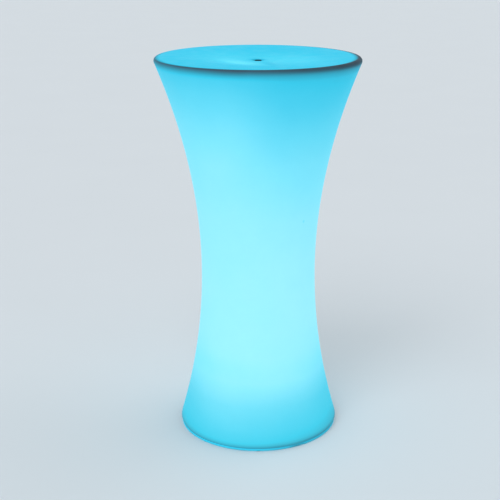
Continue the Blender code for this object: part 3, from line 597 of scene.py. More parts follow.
# Glow of the milky plastic: its colour by level of light, from unlit to full. The base colour follows it
# too, as painted light, and its first colour is the painted shade of the unlit plastic
GLOW_COLOURS = [
    (0.00, (62, 88, 105)),
    (0.22, (55, 176, 206)),
    (0.36, (59, 203, 236)),
    (0.48, (76, 209, 241)),
    (0.64, (102, 220, 248)),
    (0.80, (128, 231, 254)),
    (1.00, (160, 239, 255)),
]
# Level of light up the side, by share of the table's height
SIDE_GLOW = [
    (0.000, 0.10), (0.009, 0.18), (0.024, 0.38), (0.050, 0.475),
    (0.110, 0.605), (0.175, 0.86), (0.240, 0.95), (0.400, 0.97),
    (0.600, 0.92), (0.750, 0.81), (0.850, 0.67), (0.935, 0.505),
    (0.972, 0.41), (0.9855, 0.19), (0.9925, 0.06), (0.9975, 0.00),
]
GLOW_STRENGTH = 0.66
GLOSS = 0.03                  # how much the lit plastic mirrors
PAINTED_LIGHT_BASE_SHARE = 0.50         # how much of the glow's colour is painted into the lit plastic's base colour as well, as painted light
# Painted shade on the lit top: it is made darker and less red than the side
TOP_PAINTED_SHADE = (0.38, 0.84, 0.86)
TOP_PAINTED_SHADE_LEVELS = (0.0, 0.20)
FOOT_TINT = (1.42, 1.00, 0.92)
FOOT_HEIGHTS = (0.24, 0.12)
RIM_SHADE = (52, 70, 82)      # the unlit rim is darker towards +X
RIM_SHADE_LEVELS = (0.14, 0.0)
RIM_SHADE_REACH = (-0.10, 0.20)
# How much more light the -X half gets, and the +X half less, and the heights where that sets in
TILTS = ((0.075, 0.550, 0.968), (0.040, 0.242, 0.132))
TILT_REACH = 0.10             # in full from this far off the middle on
RAMP_TILT = 0.0085            # how far the side's light reaches up more at -X, per metre
SIDE_LOSS = (0.03, 0.12)      # how much less light the +X and -X edges get, above and at the foot
SIDE_LOSS_HEIGHTS = (0.34, 0.20)
SIDE_LOSS_POWER = 3.0
DARK_RIM_HEIGHTS = (1.0879, 1.0670)
SMUDGE = (0.127, -0.123, 0.656)
SMUDGE_RADIUS = 0.0065
SMUDGE_STRENGTH = -0.16
TOP_LEVEL = 0.43
TOP_HEIGHTS = (1.0955, 1.0975)
DISH_HEIGHTS = (1.0800, 1.0850)
DISH_REACH = (0.2800, 0.2700)
LIT_TOP_PLACE = (-0.0045, 0.0, 0.0)           # the lit round of the top lies a little towards -X
NARROW_EDGE = (0.2836, 0.2796)                # where its light fades, to the front and back
WIDE_EDGE = (0.2880, 0.2650)                  # and to the sides
WIDE_EDGE_POWER = 8.0
# Soft patches in the dish, painted light where the strength is above 0 and painted shade where it is
# below, the last one the shade in and round the plug's dimple: place, turn in degrees, size and strength
TOP_PATCHES = [
    ((-0.048, -0.098), -62, (0.155, 0.070), 0.34),
    ((-0.075, 0.005), 0, (0.200, 0.230), 0.16),
    ((0.100, -0.040), -80, (0.235, 0.140), 0.21),
    ((0.030, -0.110), -82, (0.130, 0.026), -0.16),
    ((-0.002, 0.005), 0, (0.038, 0.038), -0.48),
]
PAN_GLOW = (0.06, 0.22, 0.62)  # radius of the brightest part, level at the edge and there
LIP_WIDTH = (0.0030, 0.0010)
LIP_REACH = (-0.02, 0.12)
LIP_LIGHT = (0.35, 0.23)      # level of light on the pan's lip, at -X and at +X
LIP_SHADOW = ((0.112, -0.203), 0.040, -0.10)  # a dimmer stretch of it: place, radius and strength
ALL_HEIGHTS = 1e6             # a patch this tall has the same plan at every height
MOST_NOISE = (0.3, 0.7)       # nearly all of a noise lies between these
CLOUDS = (0.16, 0.012)        # size and strength of the uneven light
GRAIN = (0.0022, 0.00012)     # size and relief of the moulded skin
WAVES = (0.03, 0.0005)
DUST = 0.035
GRAIN_TINT = (0.985, 1.015)
DUST_TINT = (0.94, 1.04)
DUST_GLOSS = (0.44, 0.56)
BROAD = 18                    # how much larger than the grain moulded plastic's uneven patches are
BROAD_LEVELS = (0.25, 0.75)
BROAD_TINT = (0.86, 1.10)
BROAD_GLOSS = 0.08
WORN_GRAIN = 9                # the same for worn spots
WORN_LEVELS = (0.56, 0.72)
WORN_SHADE = 0.55
METAL_GRAIN = (0.0012, 0.00003)            # of its brushed marks
METAL_PATCHES = 0.006
METAL_TINT = (0.86, 1.04)
METAL_GLOSS = (-0.07, 0.12)
TRACKS = {"Scale": 160, "Mortar Size": 0.06}
TRACK_RELIEF = 0.00005
WEAVE = (0.0009, 0.00002)
WEAVE_TINT = (0.85, 1.10)
WEAVE_GLOSS = (0.28, 0.42)


def lit_plastic(name, level_of):
    """Milky plastic that shows the light behind it."""
    finish = Finish(name, specular=GLOSS)
    level, top_share = level_of(finish)
    size, strength = CLOUDS
    clouds = finish.fade(finish.noise(size, detail=3), *MOST_NOISE, -strength, strength)
    level = finish.plus(level, clouds)
    # The base colour follows the level of light too: painted light where the plastic is lit, and at
    # level 0 the painted shade of the unlit rim
    (start, unlit), *shades = [(position, from_screen(*colour)) for position, colour in GLOW_COLOURS]
    painted_light_stops = [(position, tuple(PAINTED_LIGHT_BASE_SHARE * part for part in shade)) for position, shade in shades]
    base = finish.ramp(level, [(start, unlit), *painted_light_stops])
    glow = finish.ramp(level, [(start, (0, 0, 0)), *shades])
    if top_share:
        # Painted shade on the lit top
        top_share = finish.times(top_share, finish.fade(level, *TOP_PAINTED_SHADE_LEVELS))
        base = finish.multiplied(base, TOP_PAINTED_SHADE, top_share)
        glow = finish.multiplied(glow, TOP_PAINTED_SHADE, top_share)
        glow = finish.multiplied(glow, FOOT_TINT, finish.fade(finish.along("Z"), *FOOT_HEIGHTS))
        shaded = finish.times(finish.fade(level, *RIM_SHADE_LEVELS),
                              finish.fade(finish.along("X"), *RIM_SHADE_REACH))
        base = finish.mixed(shaded, base, from_screen(*RIM_SHADE))
    size, relief = GRAIN
    grain = finish.noise(size, detail=4, roughness=0.6)
    dust = finish.noise(DUST, detail=5, roughness=0.65)
    wave, wave_relief = WAVES
    finish.set("Emission Color", finish.tint(glow, grain, *GRAIN_TINT))
    finish.set("Emission Strength", GLOW_STRENGTH)
    finish.surface(finish.tint(base, dust, *DUST_TINT), finish.fade(dust, *MOST_NOISE, *DUST_GLOSS))
    finish.bump((grain, relief), (finish.noise(wave), wave_relief))
    return finish.material


def shell_level(finish):
    """Level of light on the shell, and where its top is."""
    x, height, out = finish.along("X"), finish.along("Z"), finish.outward()
    edge_side = finish.maths("ABSOLUTE", finish.maths("DIVIDE", x, out))
    share = finish.times(finish.maths("DIVIDE", height, TABLE_HEIGHT),
                         finish.plus(finish.times(x, RAMP_TILT), 1.0))
    side = finish.ramp(share, [(position, (level,) * 3) for position, level in SIDE_GLOW])
    lean = finish.plus(*[finish.fade(height, start, end, 0.0, most) for most, start, end in TILTS])
    lean = finish.times(lean, finish.fade(x, -TILT_REACH, TILT_REACH, 1.0, -1.0))
    above, below = SIDE_LOSS
    loss = finish.times(finish.fade(height, *SIDE_LOSS_HEIGHTS, -above, -below),
                        finish.maths("POWER", edge_side, SIDE_LOSS_POWER))
    uneven = finish.times(finish.plus(lean, loss), finish.fade(height, *DARK_RIM_HEIGHTS))
    smudge = finish.spot(SMUDGE, 0.0, (SMUDGE_RADIUS,) * 3)
    side = finish.plus(side, uneven, finish.times(smudge, SMUDGE_STRENGTH))

    top = TOP_LEVEL
    # Painted light and painted shade, patch by patch
    for place, turned, size, strength in TOP_PATCHES:
        patch = finish.spot((*place, TABLE_HEIGHT), math.radians(turned), (*size, ALL_HEIGHTS))
        top = finish.plus(top, finish.times(patch, strength))
    lit_reach = finish.outward(LIT_TOP_PLACE)
    narrow, wide = finish.fade(lit_reach, *NARROW_EDGE), finish.fade(lit_reach, *WIDE_EDGE)
    edge = finish.mixed(finish.maths("POWER", edge_side, WIDE_EDGE_POWER), narrow, wide, "FLOAT")
    dish = finish.times(finish.fade(height, *DISH_HEIGHTS), finish.fade(out, *DISH_REACH))
    on_top = finish.maths("MAXIMUM", dish, finish.fade(height, *TOP_HEIGHTS))
    return finish.mixed(on_top, side, finish.times(top, edge), "FLOAT"), on_top


def pan_level(finish):
    """Level of light on the pan: brightest round the light unit, with a lit lip."""
    out, edge = finish.outward(), half_width("base_pan")
    bright, outer_level, inner_level = PAN_GLOW
    middle = finish.fade(out, edge, bright, outer_level, inner_level)
    place, radius, strength = LIP_SHADOW
    shadow = finish.spot((*place, 0.0), 0.0, (radius, radius, ALL_HEIGHTS))
    lip = finish.plus(finish.fade(finish.along("X"), *LIP_REACH, *LIP_LIGHT),
                      finish.times(shadow, strength))
    start, end = LIP_WIDTH
    return finish.mixed(finish.fade(out, edge - start, edge - end), middle, lip, "FLOAT"), None


def moulded(name, colour, roughness, grain, relief, specular=0.5, worn=0.0):
    """Moulded plastic or rubber: fine relief, uneven colour and gloss, and pale worn spots."""
    finish = Finish(name, specular=specular)
    fine = finish.noise(grain, detail=3, roughness=0.6)
    broad = finish.noise(grain * BROAD, detail=4)
    shown = finish.tint(colour, broad, *BROAD_TINT)
    if worn:
        pale = tuple(part + worn * (WORN_SHADE - part) for part in colour)
        spots = finish.fade(finish.noise(grain * WORN_GRAIN, detail=6), *WORN_LEVELS)
        shown = finish.mixed(spots, shown, pale)
    smooth, rough = roughness - BROAD_GLOSS, roughness + BROAD_GLOSS
    finish.surface(shown, finish.fade(broad, *BROAD_LEVELS, smooth, rough))
    finish.bump((fine, relief))
    return finish.material


def metal(name, colour, roughness, brushed):
    """Plain metal with fine marks drawn out along one direction."""
    finish = Finish(name, metallic=1.0)
    size, relief = METAL_GRAIN
    smooth, rough = METAL_GLOSS
    marks = finish.noise(size, detail=4, stretch=brushed)
    finish.surface(finish.tint(colour, finish.noise(METAL_PATCHES, detail=3), *METAL_TINT),
                   finish.fade(marks, *MOST_NOISE, roughness + smooth, roughness + rough))
    finish.bump((marks, relief))
    return finish.material


def circuit(name, mask, track):
    """Board lacquer with tracks under it."""
    finish = Finish(name)
    tracks = finish.add("ShaderNodeTexBrick", "Fac", {"Vector": finish.place, **TRACKS})
    size, relief = WEAVE
    weave = finish.noise(size, detail=3)
    finish.surface(finish.tint(finish.mixed(tracks, mask, track), weave, *WEAVE_TINT),
                   finish.fade(weave, *MOST_NOISE, *WEAVE_GLOSS))
    finish.bump((tracks, TRACK_RELIEF), (weave, relief))
    return finish.material


SHELL = lit_plastic("lit_shell_plastic", shell_level)
PAN = lit_plastic("lit_pan_plastic", pan_level)
# Moulded ones have a colour, a roughness, a size of grain and its relief
PLUG = moulded("dark_plug_rubber", from_screen(4, 24, 36), 0.66, 0.0006, 0.00004, specular=0.04)
RUBBER = moulded("black_rubber", (0.018, 0.018, 0.019), 0.72, 0.0007, 0.00008, specular=0.3, worn=0.12)
HOUSING = moulded("white_housing_plastic", (0.74, 0.76, 0.76), 0.36, 0.0009, 0.00004)
SWITCH = moulded("grey_switch_plastic", (0.045, 0.047, 0.052), 0.48, 0.0005, 0.00005, worn=0.05)
DOME = moulded("clear_dome_plastic", (0.72, 0.86, 0.90), 0.18, 0.0020, 0.00003)
MIRROR = moulded("reflector_plastic", (0.86, 0.87, 0.88), 0.16, 0.0012, 0.00002)
WRAP = moulded("battery_wrap", (0.035, 0.15, 0.46), 0.30, 0.0015, 0.00004)
SLEEVE = moulded("lead_sleeve", (0.022, 0.022, 0.024), 0.50, 0.0006, 0.00004)
PHOSPHOR = moulded("light_chip_resin", (0.86, 0.66, 0.16), 0.34, 0.0008, 0.00002)
STEEL = metal("screw_steel", (0.60, 0.60, 0.59), 0.30, (1, 8, 1))
NICKEL = metal("nut_nickel", (0.68, 0.64, 0.56), 0.24, (8, 1, 1))
COPPER = metal("coil_copper", (0.72, 0.32, 0.16), 0.34, (1, 1, 0.3))
BOARD = circuit("board_laminate", (0.012, 0.16, 0.06), (0.03, 0.27, 0.10))
LAMP_BOARD = circuit("lamp_laminate", (0.80, 0.81, 0.79), (0.70, 0.72, 0.71))


# Shell
def side(height):
    """Radius and lean of the side: two parabolas that share their turning point at the waist."""
    above = height > WAIST_HEIGHT
    bulge = (TOP_EDGE_RADIUS if above else BASE_RADIUS) - WAIST_RADIUS
    rise = (TABLE_HEIGHT if above else 0) - WAIST_HEIGHT
    share = (height - WAIST_HEIGHT) / rise
    return WAIST_RADIUS + bulge * share ** 2, math.atan(2 * bulge * share / rise)


def side_radius(height):
    return side(height)[0]


def round_centre(edge, lean, rounding):
    """How far out an edge's rounding has its middle, where a leaning side meets a flat."""
    return edge - rounding / math.tan((QUARTER - lean) / 2)


def make_shell():
    """One hollow moulding: the dish with its dimple, the rim, the waisted side and a turned-in foot."""
    low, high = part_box("table_shell")
    foot = low.z
    rim_fill_foot = TABLE_HEIGHT - TOP_WALL - RIM_FILL_DEPTH
    dish_radius = side_radius(rim_fill_foot) - SHELL_WALL - RIM_FILL_WIDTH
    floor = TABLE_HEIGHT - DISH_DEPTH - DIMPLE_DEPTH

    def dish(radius):
        return TABLE_HEIGHT - DISH_DEPTH * (1 + math.cos(math.pi * radius / dish_radius)) / 2

    top = [(VENT_HOLE_RADIUS, floor)]
    rise = dish(DIMPLE_RADIUS) - floor
    for share in spread(0, 1, DIMPLE_STEPS):
        radius = DIMPLE_FLAT + (DIMPLE_RADIUS - DIMPLE_FLAT) * share
        top.append((radius, floor + rise * math.sin(QUARTER * share) ** 2))
    top += [(radius, dish(radius)) for radius in between(DIMPLE_RADIUS, dish_radius, DISH_STEPS)]
    top.append((dish_radius, TABLE_HEIGHT))

    rim_lean, foot_lean, foot_radius = side(TABLE_HEIGHT)[1], -side(foot)[1], side_radius(foot)
    rim_centre = (round_centre(TOP_EDGE_RADIUS, rim_lean, RIM_ROUND), TABLE_HEIGHT - RIM_ROUND)
    rim = arc(rim_centre, RIM_ROUND, QUARTER, -rim_lean, RIM_STEPS)
    rim = [(min(radius, high.x), height) for radius, height in rim]
    foot_centre = (round_centre(foot_radius, foot_lean, FOOT_ROUND), foot + FOOT_ROUND)
    heel = arc(foot_centre, FOOT_ROUND, foot_lean, -QUARTER, FOOT_STEPS)
    above, below = OUTSIDE_STEPS
    levels = [*between(rim[-1][1], WAIST_HEIGHT, above), WAIST_HEIGHT,
              *between(WAIST_HEIGHT, heel[0][1], below)]
    outside = [(side_radius(height), height) for height in levels]

    ledge_radius, ledge_top = foot_radius - LEDGE_WIDTH, foot + LEDGE_WALL
    ledge = [(ledge_radius, foot), (ledge_radius, ledge_top)]
    above, below = INSIDE_STEPS
    levels = [ledge_top, *between(ledge_top, WAIST_HEIGHT, below),
              *between(WAIST_HEIGHT, rim_fill_foot, above), rim_fill_foot]
    inside = [(side_radius(height) - SHELL_WALL, height) for height in levels]
    ceiling = [(dish_radius, TABLE_HEIGHT - TOP_WALL)]
    ceiling += [(radius, dish(radius) - TOP_WALL)
                for radius in between(dish_radius, DIMPLE_RADIUS, CEILING_STEPS)]
    ceiling += [(DIMPLE_FLAT, floor - TOP_WALL), (VENT_HOLE_RADIUS, floor - TOP_WALL)]
    shell = turn([*top, *rim, *outside, *heel, *ledge, *inside, *ceiling], SHELL_SIDES, closed=True)
    finished(shell, "shell_moulding", SHELL, "table_shell")


def make_plug():
    """Head with a ring in its face, and a stem with a barb."""
    low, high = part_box("vent_plug")
    radius, seat, stem = high.x, high.z - PLUG_HEAD, VENT_HOLE_RADIUS - SEAT_GAP
    barb, barb_tip, barb_root = PLUG_BARB
    rings = [(radius * share, high.z - depth) for share, depth in PLUG_FACE]
    edge = (radius - PLUG_ROUND, rings[0][1] - PLUG_ROUND)
    rings += arc(edge, PLUG_ROUND, QUARTER, 0, 8)
    rings += [(radius, seat), (stem, seat), (stem, low.z + barb_root), (stem + barb, low.z + barb_tip),
              (stem / 2, low.z), (0, low.z)]
    plug = turn(rings, KNOB_SIDES)
    finished(plug, "vent_bung", PLUG, "vent_plug")


# Under the shell
def make_pan():
    """Flange with a rounded lip, round a raised middle that holds the light unit."""
    low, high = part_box("base_pan")
    foot, flange_top, ceiling, top = low.z, low.z + PAN_WALL, high.z - PAN_WALL, high.z
    draft = math.atan((WELL_MOUTH_RADIUS - WELL_CEILING_RADIUS) / (ceiling - foot))
    mouth_round, lip = WELL_FILLET / 2, PAN_LIP_ROUND
    mouth, edge = WELL_MOUTH_RADIUS + mouth_round, half_width("base_pan") - lip
    well = WELL_CEILING_RADIUS + PAN_WALL
    corner = (WELL_CEILING_RADIUS - WELL_FILLET, ceiling - WELL_FILLET)
    rings = [(PAN_OPENING, top), (PAN_OPENING, ceiling)]
    rings += arc(corner, WELL_FILLET, QUARTER, -draft, 8)
    rings += arc((mouth, foot + mouth_round), mouth_round, math.pi - draft, 3 * QUARTER, 6)
    rings += [(radius, foot) for radius in between(mouth, edge, 6)]
    rings += arc((edge, foot + lip), lip, -QUARTER, 0, 6)
    rings += arc((edge, flange_top - lip), lip, 0, QUARTER, 6)
    rings += [(WELL_MOUTH_RADIUS + PAN_WALL, flange_top), (well, top - WELL_BEVEL),
              (well - WELL_BEVEL, top)]
    pan = turn(rings, SHELL_SIDES, closed=True)
    recess_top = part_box("pan_screw_1")[0].z + RECESS_DEPTH
    cut(pan, *[upright_bar(SCREW_RECESS, foot - OVERRUN, recess_top, spot)
               for spot in places("pan_screw", 6)])
    finished(pan, "pan_moulding", PAN, "base_pan")


def make_feet():
    """Round pads with three grooves in the sole."""
    low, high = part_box("foot_pad_1")
    radius = max(high.x - low.x, high.y - low.y) / 2
    width, slope, depth = PAD_GROOVE
    rings = [(0, high.z), (radius, high.z, PAD_EDGES[0], 4), (radius, 0, PAD_EDGES[1], 4)]
    for share in PAD_GROOVES:
        rings += groove(radius * share, width, slope, 0, depth)
    first = turn(rounded([*rings, (0, 0)]), KNOB_SIDES)
    for number, pad in enumerate(copies(first, places("foot_pad", 6)), 1):
        finished(pad, f"pad_{number}", RUBBER, f"foot_pad_{number}")


def make_screws(node, name, count, sizes, head_up=False):
    """Pan-head screws with a cross recess and ridges for threads, drawn heads down."""
    shank, head, head_height = sizes
    low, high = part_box(f"{node}_1")
    seat, tip, flat = low.z + head_height, high.z - shank, HEAD_FLAT * head
    rings = [(0, low.z)]
    for angle in spread(0, QUARTER, 6):
        drop = head_height * (HEAD_EDGE + (1 - HEAD_EDGE) * math.cos(angle))
        rings.append((flat + (head - flat) * math.sin(angle), seat - drop))
    rings += [(head, seat), (shank, seat)]
    for step, level in enumerate(between(seat, tip, THREAD_STEPS)):
        rings.append((shank * (1 - THREAD_DEPTH * (1 - step % 2)), level))
    first = turn([*rings, (shank * SCREW_TIP, tip), (0, high.z)], SCREW_SIDES)
    long, narrow, deep = CROSS_RECESS
    reach, width, bottom = head * long, head * narrow, low.z + head_height * deep
    for half_sizes in ((reach, width), (width, reach)):
        cut(first, upright_block((0, 0), half_sizes, low.z - OVERRUN, bottom, width / 4))
    if head_up:
        pick(first)
        over = Matrix.Rotation(math.pi, 4, "X")
        first.matrix_world = Matrix.Translation((0, 0, low.z + high.z)) @ over
        apply_place()
    for number, screw in enumerate(copies(first, places(node, count), turned=1.0), 1):
        finished(screw, f"{name}_{number}", STEEL, f"{node}_{number}")


# The light unit
def make_housing():
    """Cup with a flange, posts inside it and the cap's two ears under it."""
    flange, rim, edge = half_width("module_housing"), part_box("module_housing")[1].z, FLANGE_EDGE
    start = GROOVE_RADIUS - GROOVE_WIDTH / 2
    housing = turn(rounded([
        (0, plate_under), *groove(start, GROOVE_WIDTH, GROOVE_WIDTH / 4, plate_under, GROOVE_DEPTH),
        (flange, plate_under, edge, 5), (flange, plate_top, edge, 5),
        (CUP_RADIUS, plate_top, edge, 4), (CUP_RADIUS, rim, edge, 4),
        (CUP_INNER_RADIUS, rim, edge / 2, 3), (CUP_INNER_RADIUS, plate_top, edge, 4), (0, plate_top),
    ]), UNIT_SIDES)

    board_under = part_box("control_board")[0].z - SEAT_GAP
    clamp_top = plate_top + CLAMP_POST_HEIGHT
    wide, narrow = POST_RADII
    posts, holes = [], []
    for node, count, radius, top, hole_top in (("dome_screw", 4, wide, rim - OVERRUN, rim),
                                               ("board_screw", 4, narrow, board_under, board_under),
                                               ("clamp_screw", 2, narrow, clamp_top, clamp_top)):
        hole_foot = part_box(f"{node}_1")[0].z - SEAT_GAP
        for spot in places(node, count):
            posts.append(upright_bar(radius, plate_top - OVERRUN, top, spot))
            holes.append(upright_bar(SMALL_HOLE, hole_foot, hole_top + OVERRUN, spot))
    weld(housing, *posts)

    hinge = middle_of("cap_hinge_pin")
    corner, ears = Vector((EAR_RADIUS, EAR_THICKNESS / 2, 0)), []
    for way in (-1, 1):
        middle = hinge + Vector((0, way * (KNUCKLE_LENGTH / 2 + SEAT_GAP + EAR_THICKNESS / 2), 0))
        ear = lying_bar(EAR_RADIUS, EAR_THICKNESS, middle)
        x, y = (middle + corner).xy
        weld(ear, rounded_block(middle - corner, (x, y, plate_under + OVERRUN), EAR_EDGE))
        ears.append(ear)
    weld(housing, *ears)

    through = [(radius, middle_of(node).xy) for radius, node in (
        (BEZEL_BARREL, "power_button"), (SOCKET_BARREL, "charge_socket"),
        (LENS_RADIUS, "indicator_lens"))]
    through += [(UNIT_SCREW[0], spot) for spot in places("module_screw", 6)]
    holes += [upright_bar(radius + SEAT_GAP, plate_under - OVERRUN, plate_top + OVERRUN, spot)
              for radius, spot in through]
    cut(housing, *holes)
    cut(housing, lying_bar(HINGE_PIN_RADIUS + SEAT_GAP, 4 * KNUCKLE_LENGTH, hinge))
    finished(housing, "unit_housing", HOUSING, "module_housing")


def make_gasket():
    low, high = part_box("module_gasket")
    rounding = (high.z - low.z) * GASKET_ROUND
    section = ring_section(PAN_OPENING, half_width("module_gasket"), low.z, high.z, rounding, 3)
    gasket = turn(section, UNIT_SIDES, closed=True)
    drill(gasket, UNIT_SCREW[0] + SEAT_GAP, low.z, high.z, places("module_screw", 6))
    finished(gasket, "unit_gasket", RUBBER, "module_gasket")


# Button, indicator, charging socket and its cap
def make_bezel():
    """Ring with a crowned face, on a barrel that goes through the plate."""
    low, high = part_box("button_bezel")
    edge, bore, top = half_width("button_bezel"), BUTTON_RADIUS + SEAT_GAP, low.z + BEZEL_HEIGHT
    from_bore, from_edge, crown = BEZEL_CROWN
    inner, outer = bore + from_bore, edge - from_edge
    rings = [(bore, high.z), (BEZEL_BARREL, high.z), (BEZEL_BARREL, top), (outer, top)]
    rings.append((edge, top - BEZEL_CHAMFER))
    for angle in spread(0, math.pi, 12):
        across = (inner + outer + (outer - inner) * math.cos(angle)) / 2
        rings.append((across, low.z + crown * (1 - math.sin(angle))))
    bezel = turn([*rings, (bore, top)], KNOB_SIDES, middle_of("button_bezel").xy, closed=True)
    finished(bezel, "button_ring", STEEL, "button_bezel")


def make_button():
    """Push button with a finger dish in its face, which looks down."""
    low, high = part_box("power_button")
    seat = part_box("button_bezel")[1].z + SEAT_GAP
    shoulder, shoulder_top = BUTTON_RADIUS + BUTTON_SHOULDER, seat + BUTTON_SHOULDER
    dish = BUTTON_RADIUS - 2 * BUTTON_EDGE
    face = [(dish * share, low.z + FINGER_DISH * (1 - share ** 2)) for share in spread(0, 1, 7)]
    button = turn(rounded([
        *face, (BUTTON_RADIUS, low.z, BUTTON_EDGE, 6), (BUTTON_RADIUS, seat), (shoulder, seat),
        (shoulder, shoulder_top), (STEM_RADIUS, shoulder_top), (STEM_RADIUS, high.z), (0, high.z),
    ]), KNOB_SIDES, middle_of("power_button").xy)
    finished(button, "push_button", SWITCH, "power_button", body="power_button")


def make_lens():
    """Light pipe of the charging indicator, with a rounded end under the plate."""
    low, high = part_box("indicator_lens")
    seat, head = plate_top + SEAT_GAP, LENS_RADIUS + LENS_HEAD
    rings = [(LENS_RADIUS * share, low.z + rise) for share, rise in LENS_TIP]
    rings += [(LENS_RADIUS, plate_under), (LENS_RADIUS, seat), (head, seat), (head, seat + LENS_HEAD),
              (LENS_RADIUS, seat + LENS_HEAD), (LENS_RADIUS, high.z), (0, high.z)]
    lens = turn(rings, SCREW_SIDES, middle_of("indicator_lens").xy)
    finished(lens, "indicator_light_pipe", DOME, "indicator_lens")


def make_socket():
    """Barrel jack: flange, bore and the pin in the middle of it."""
    low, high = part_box("charge_socket")
    edge, top = half_width("charge_socket"), low.z + SOCKET_FLANGE_HEIGHT
    bore_end = low.z + SOCKET_BORE_DEPTH
    pin_end = bore_end - SOCKET_PIN_LENGTH
    tip_share, tip_height = SOCKET_PIN_TIP
    socket = turn(rounded([
        (0, high.z), (SOCKET_BARREL, high.z), (SOCKET_BARREL, top), (edge, top),
        (edge, low.z, SOCKET_EDGE, 5), (SOCKET_BORE + SOCKET_LEAD_IN, low.z),
        (SOCKET_BORE, low.z + SOCKET_LEAD_IN), (SOCKET_BORE, bore_end), (SOCKET_PIN, bore_end),
        (SOCKET_PIN, pin_end + tip_height), (SOCKET_PIN * tip_share, pin_end), (0, pin_end),
    ]), KNOB_SIDES, middle_of("charge_socket").xy)
    finished(socket, "charging_socket", SWITCH, "charge_socket")


def make_cap():
    """Round flap on an arm, with a grooved lifting tab opposite its hinge."""
    hinge, middle = middle_of("cap_hinge_pin"), middle_of("charge_socket").xy
    low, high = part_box("socket_cap")
    radius = (high.y - low.y) / 2
    under, top = hinge.z - CAP_THICKNESS / 2, hinge.z + CAP_THICKNESS / 2
    dish_from, dish_to, dish = CAP_DISH
    cap = turn(rounded([
        (0, under + dish), (radius * dish_from, under + dish), (radius * dish_to, under),
        (radius, under, CAP_EDGES[0], 5), (radius, top, CAP_EDGES[1], 4), (0, top),
    ]), KNOB_SIDES, middle)
    arm_low, arm_high = hinge.z - CAP_ARM_THICKNESS / 2, hinge.z + CAP_ARM_THICKNESS / 2
    half_knuckle = KNUCKLE_LENGTH / 2
    weld(cap, rounded_block((middle.x + radius / 2, hinge.y - half_knuckle, arm_low),
                            (hinge.x, hinge.y + half_knuckle, arm_high), CAP_ARM_EDGE))
    tab_width = middle.x - radius - low.x
    tab = rounded_block((low.x, hinge.y - tab_width, arm_low),
                        (middle.x - radius / 2, hinge.y + tab_width, arm_high), CAP_TAB_EDGE)
    width, depth, share = TAB_GROOVE
    for start in TAB_GROOVES:
        cut(tab, upright_block((low.x + start + width / 2, hinge.y), (width / 2, tab_width * share),
                               arm_low - OVERRUN, arm_low + depth, width / 8))
    weld(cap, tab)
    weld(cap, lying_bar(KNUCKLE_RADIUS, KNUCKLE_LENGTH, hinge, PIN_EDGE))
    cut(cap, lying_bar(HINGE_PIN_RADIUS + SEAT_GAP, 2 * KNUCKLE_LENGTH, hinge))
    finished(cap, "socket_flap", RUBBER, "socket_cap", body="socket_cap")


def make_hinge_pin():
    low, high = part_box("cap_hinge_pin")
    pin = lying_bar(HINGE_PIN_RADIUS, high.y - low.y, (low + high) / 2, PIN_EDGE)
    finished(pin, "flap_pin", STEEL, "cap_hinge_pin")


# Inside the light unit
def cell_side(radius, half):
    """Rings down a cell's side, from the edge of its raised end to that of the other one."""
    lip, narrow = radius * CELL_LIP, radius - CELL_GROOVE_DEPTH
    levels = [half - down for down in CELL_GROOVE]
    return [(lip, half), (radius - CELL_EDGE, half), (radius, half - CELL_EDGE),
            *zip((radius, narrow, narrow, radius), levels),
            (radius, CELL_EDGE - half), (radius - CELL_EDGE, -half), (lip, -half)]


def make_cells():
    """Steel cans in shrink sleeves that leave both ends bare; every second one lies the other way."""
    for number in range(1, 4):
        node = f"battery_cell_{number}"
        low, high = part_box(node)
        radius, middle = (high.z - low.z) / 2, middle_of(node)
        way = math.copysign(1, middle.x)
        half = (high.x - low.x - CELL_POLE_HEIGHT) / 2
        bare, bare_half = radius - CELL_SLEEVE_WALL, half - CELL_SLEEVE_WALL
        tip = half + CELL_POLE_HEIGHT
        can = [(0, tip), (CELL_POLE_RADIUS - CELL_EDGE, tip), (CELL_POLE_RADIUS, tip - CELL_EDGE / 2),
               (CELL_POLE_RADIUS, bare_half), *cell_side(bare, bare_half), (0, -bare_half)]
        sleeve = cell_side(radius, half) + cell_side(bare, bare_half)[::-1]
        lie = Matrix.Translation(middle - Vector((way * CELL_POLE_HEIGHT / 2, 0, 0)))
        lie = lie @ Matrix.Rotation(way * QUARTER, 4, "Y")
        for rings, closed, name, material, slot in ((can, False, "can", NICKEL, "nut_nickel"),
                                                    (sleeve, True, "sleeve", WRAP, "cell_wrap")):
            piece = turn(rings, KNOB_SIDES, closed=closed)
            piece.matrix_world = lie
            finished(piece, f"cell_{name}_{number}", material, node)


def make_saddle(node, name, tab_low):
    """Half of the battery's holder: a block with two tabs, a trough for each cell and openings."""
    low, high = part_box(node)
    length, width, wall = SADDLE_TAB
    tab = Vector((0, length, 0))
    saddle = rounded_block(low + tab, high - tab, SADDLE_EDGE)
    weld(saddle, rounded_block((-width / 2, low.y, tab_low), (width / 2, high.y, tab_low + wall),
                               SADDLE_TAB_EDGE))
    cells = [middle_of(f"battery_cell_{number}") for number in range(1, 4)]
    cell_low, cell_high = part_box("battery_cell_1")
    trough, reach = (cell_high.z - cell_low.z) / 2 + SEAT_GAP, 2 * (high.x + OVERRUN)
    cut(saddle, *[round_bar(trough, reach, (0, cell.y, cell.z), (0, QUARTER, 0)) for cell in cells])
    start, end, half = SADDLE_WINDOW
    cut(saddle, *[upright_block((way * (start + end) / 2, cell.y), ((end - start) / 2, half),
                                low.z - OVERRUN, high.z + OVERRUN, SADDLE_WINDOW_EDGE)
                  for cell in cells for way in (-1, 1)])
    drill(saddle, SMALL_HOLE, tab_low, tab_low + wall, places("clamp_screw", 2))
    finished(saddle, name, SWITCH, node)


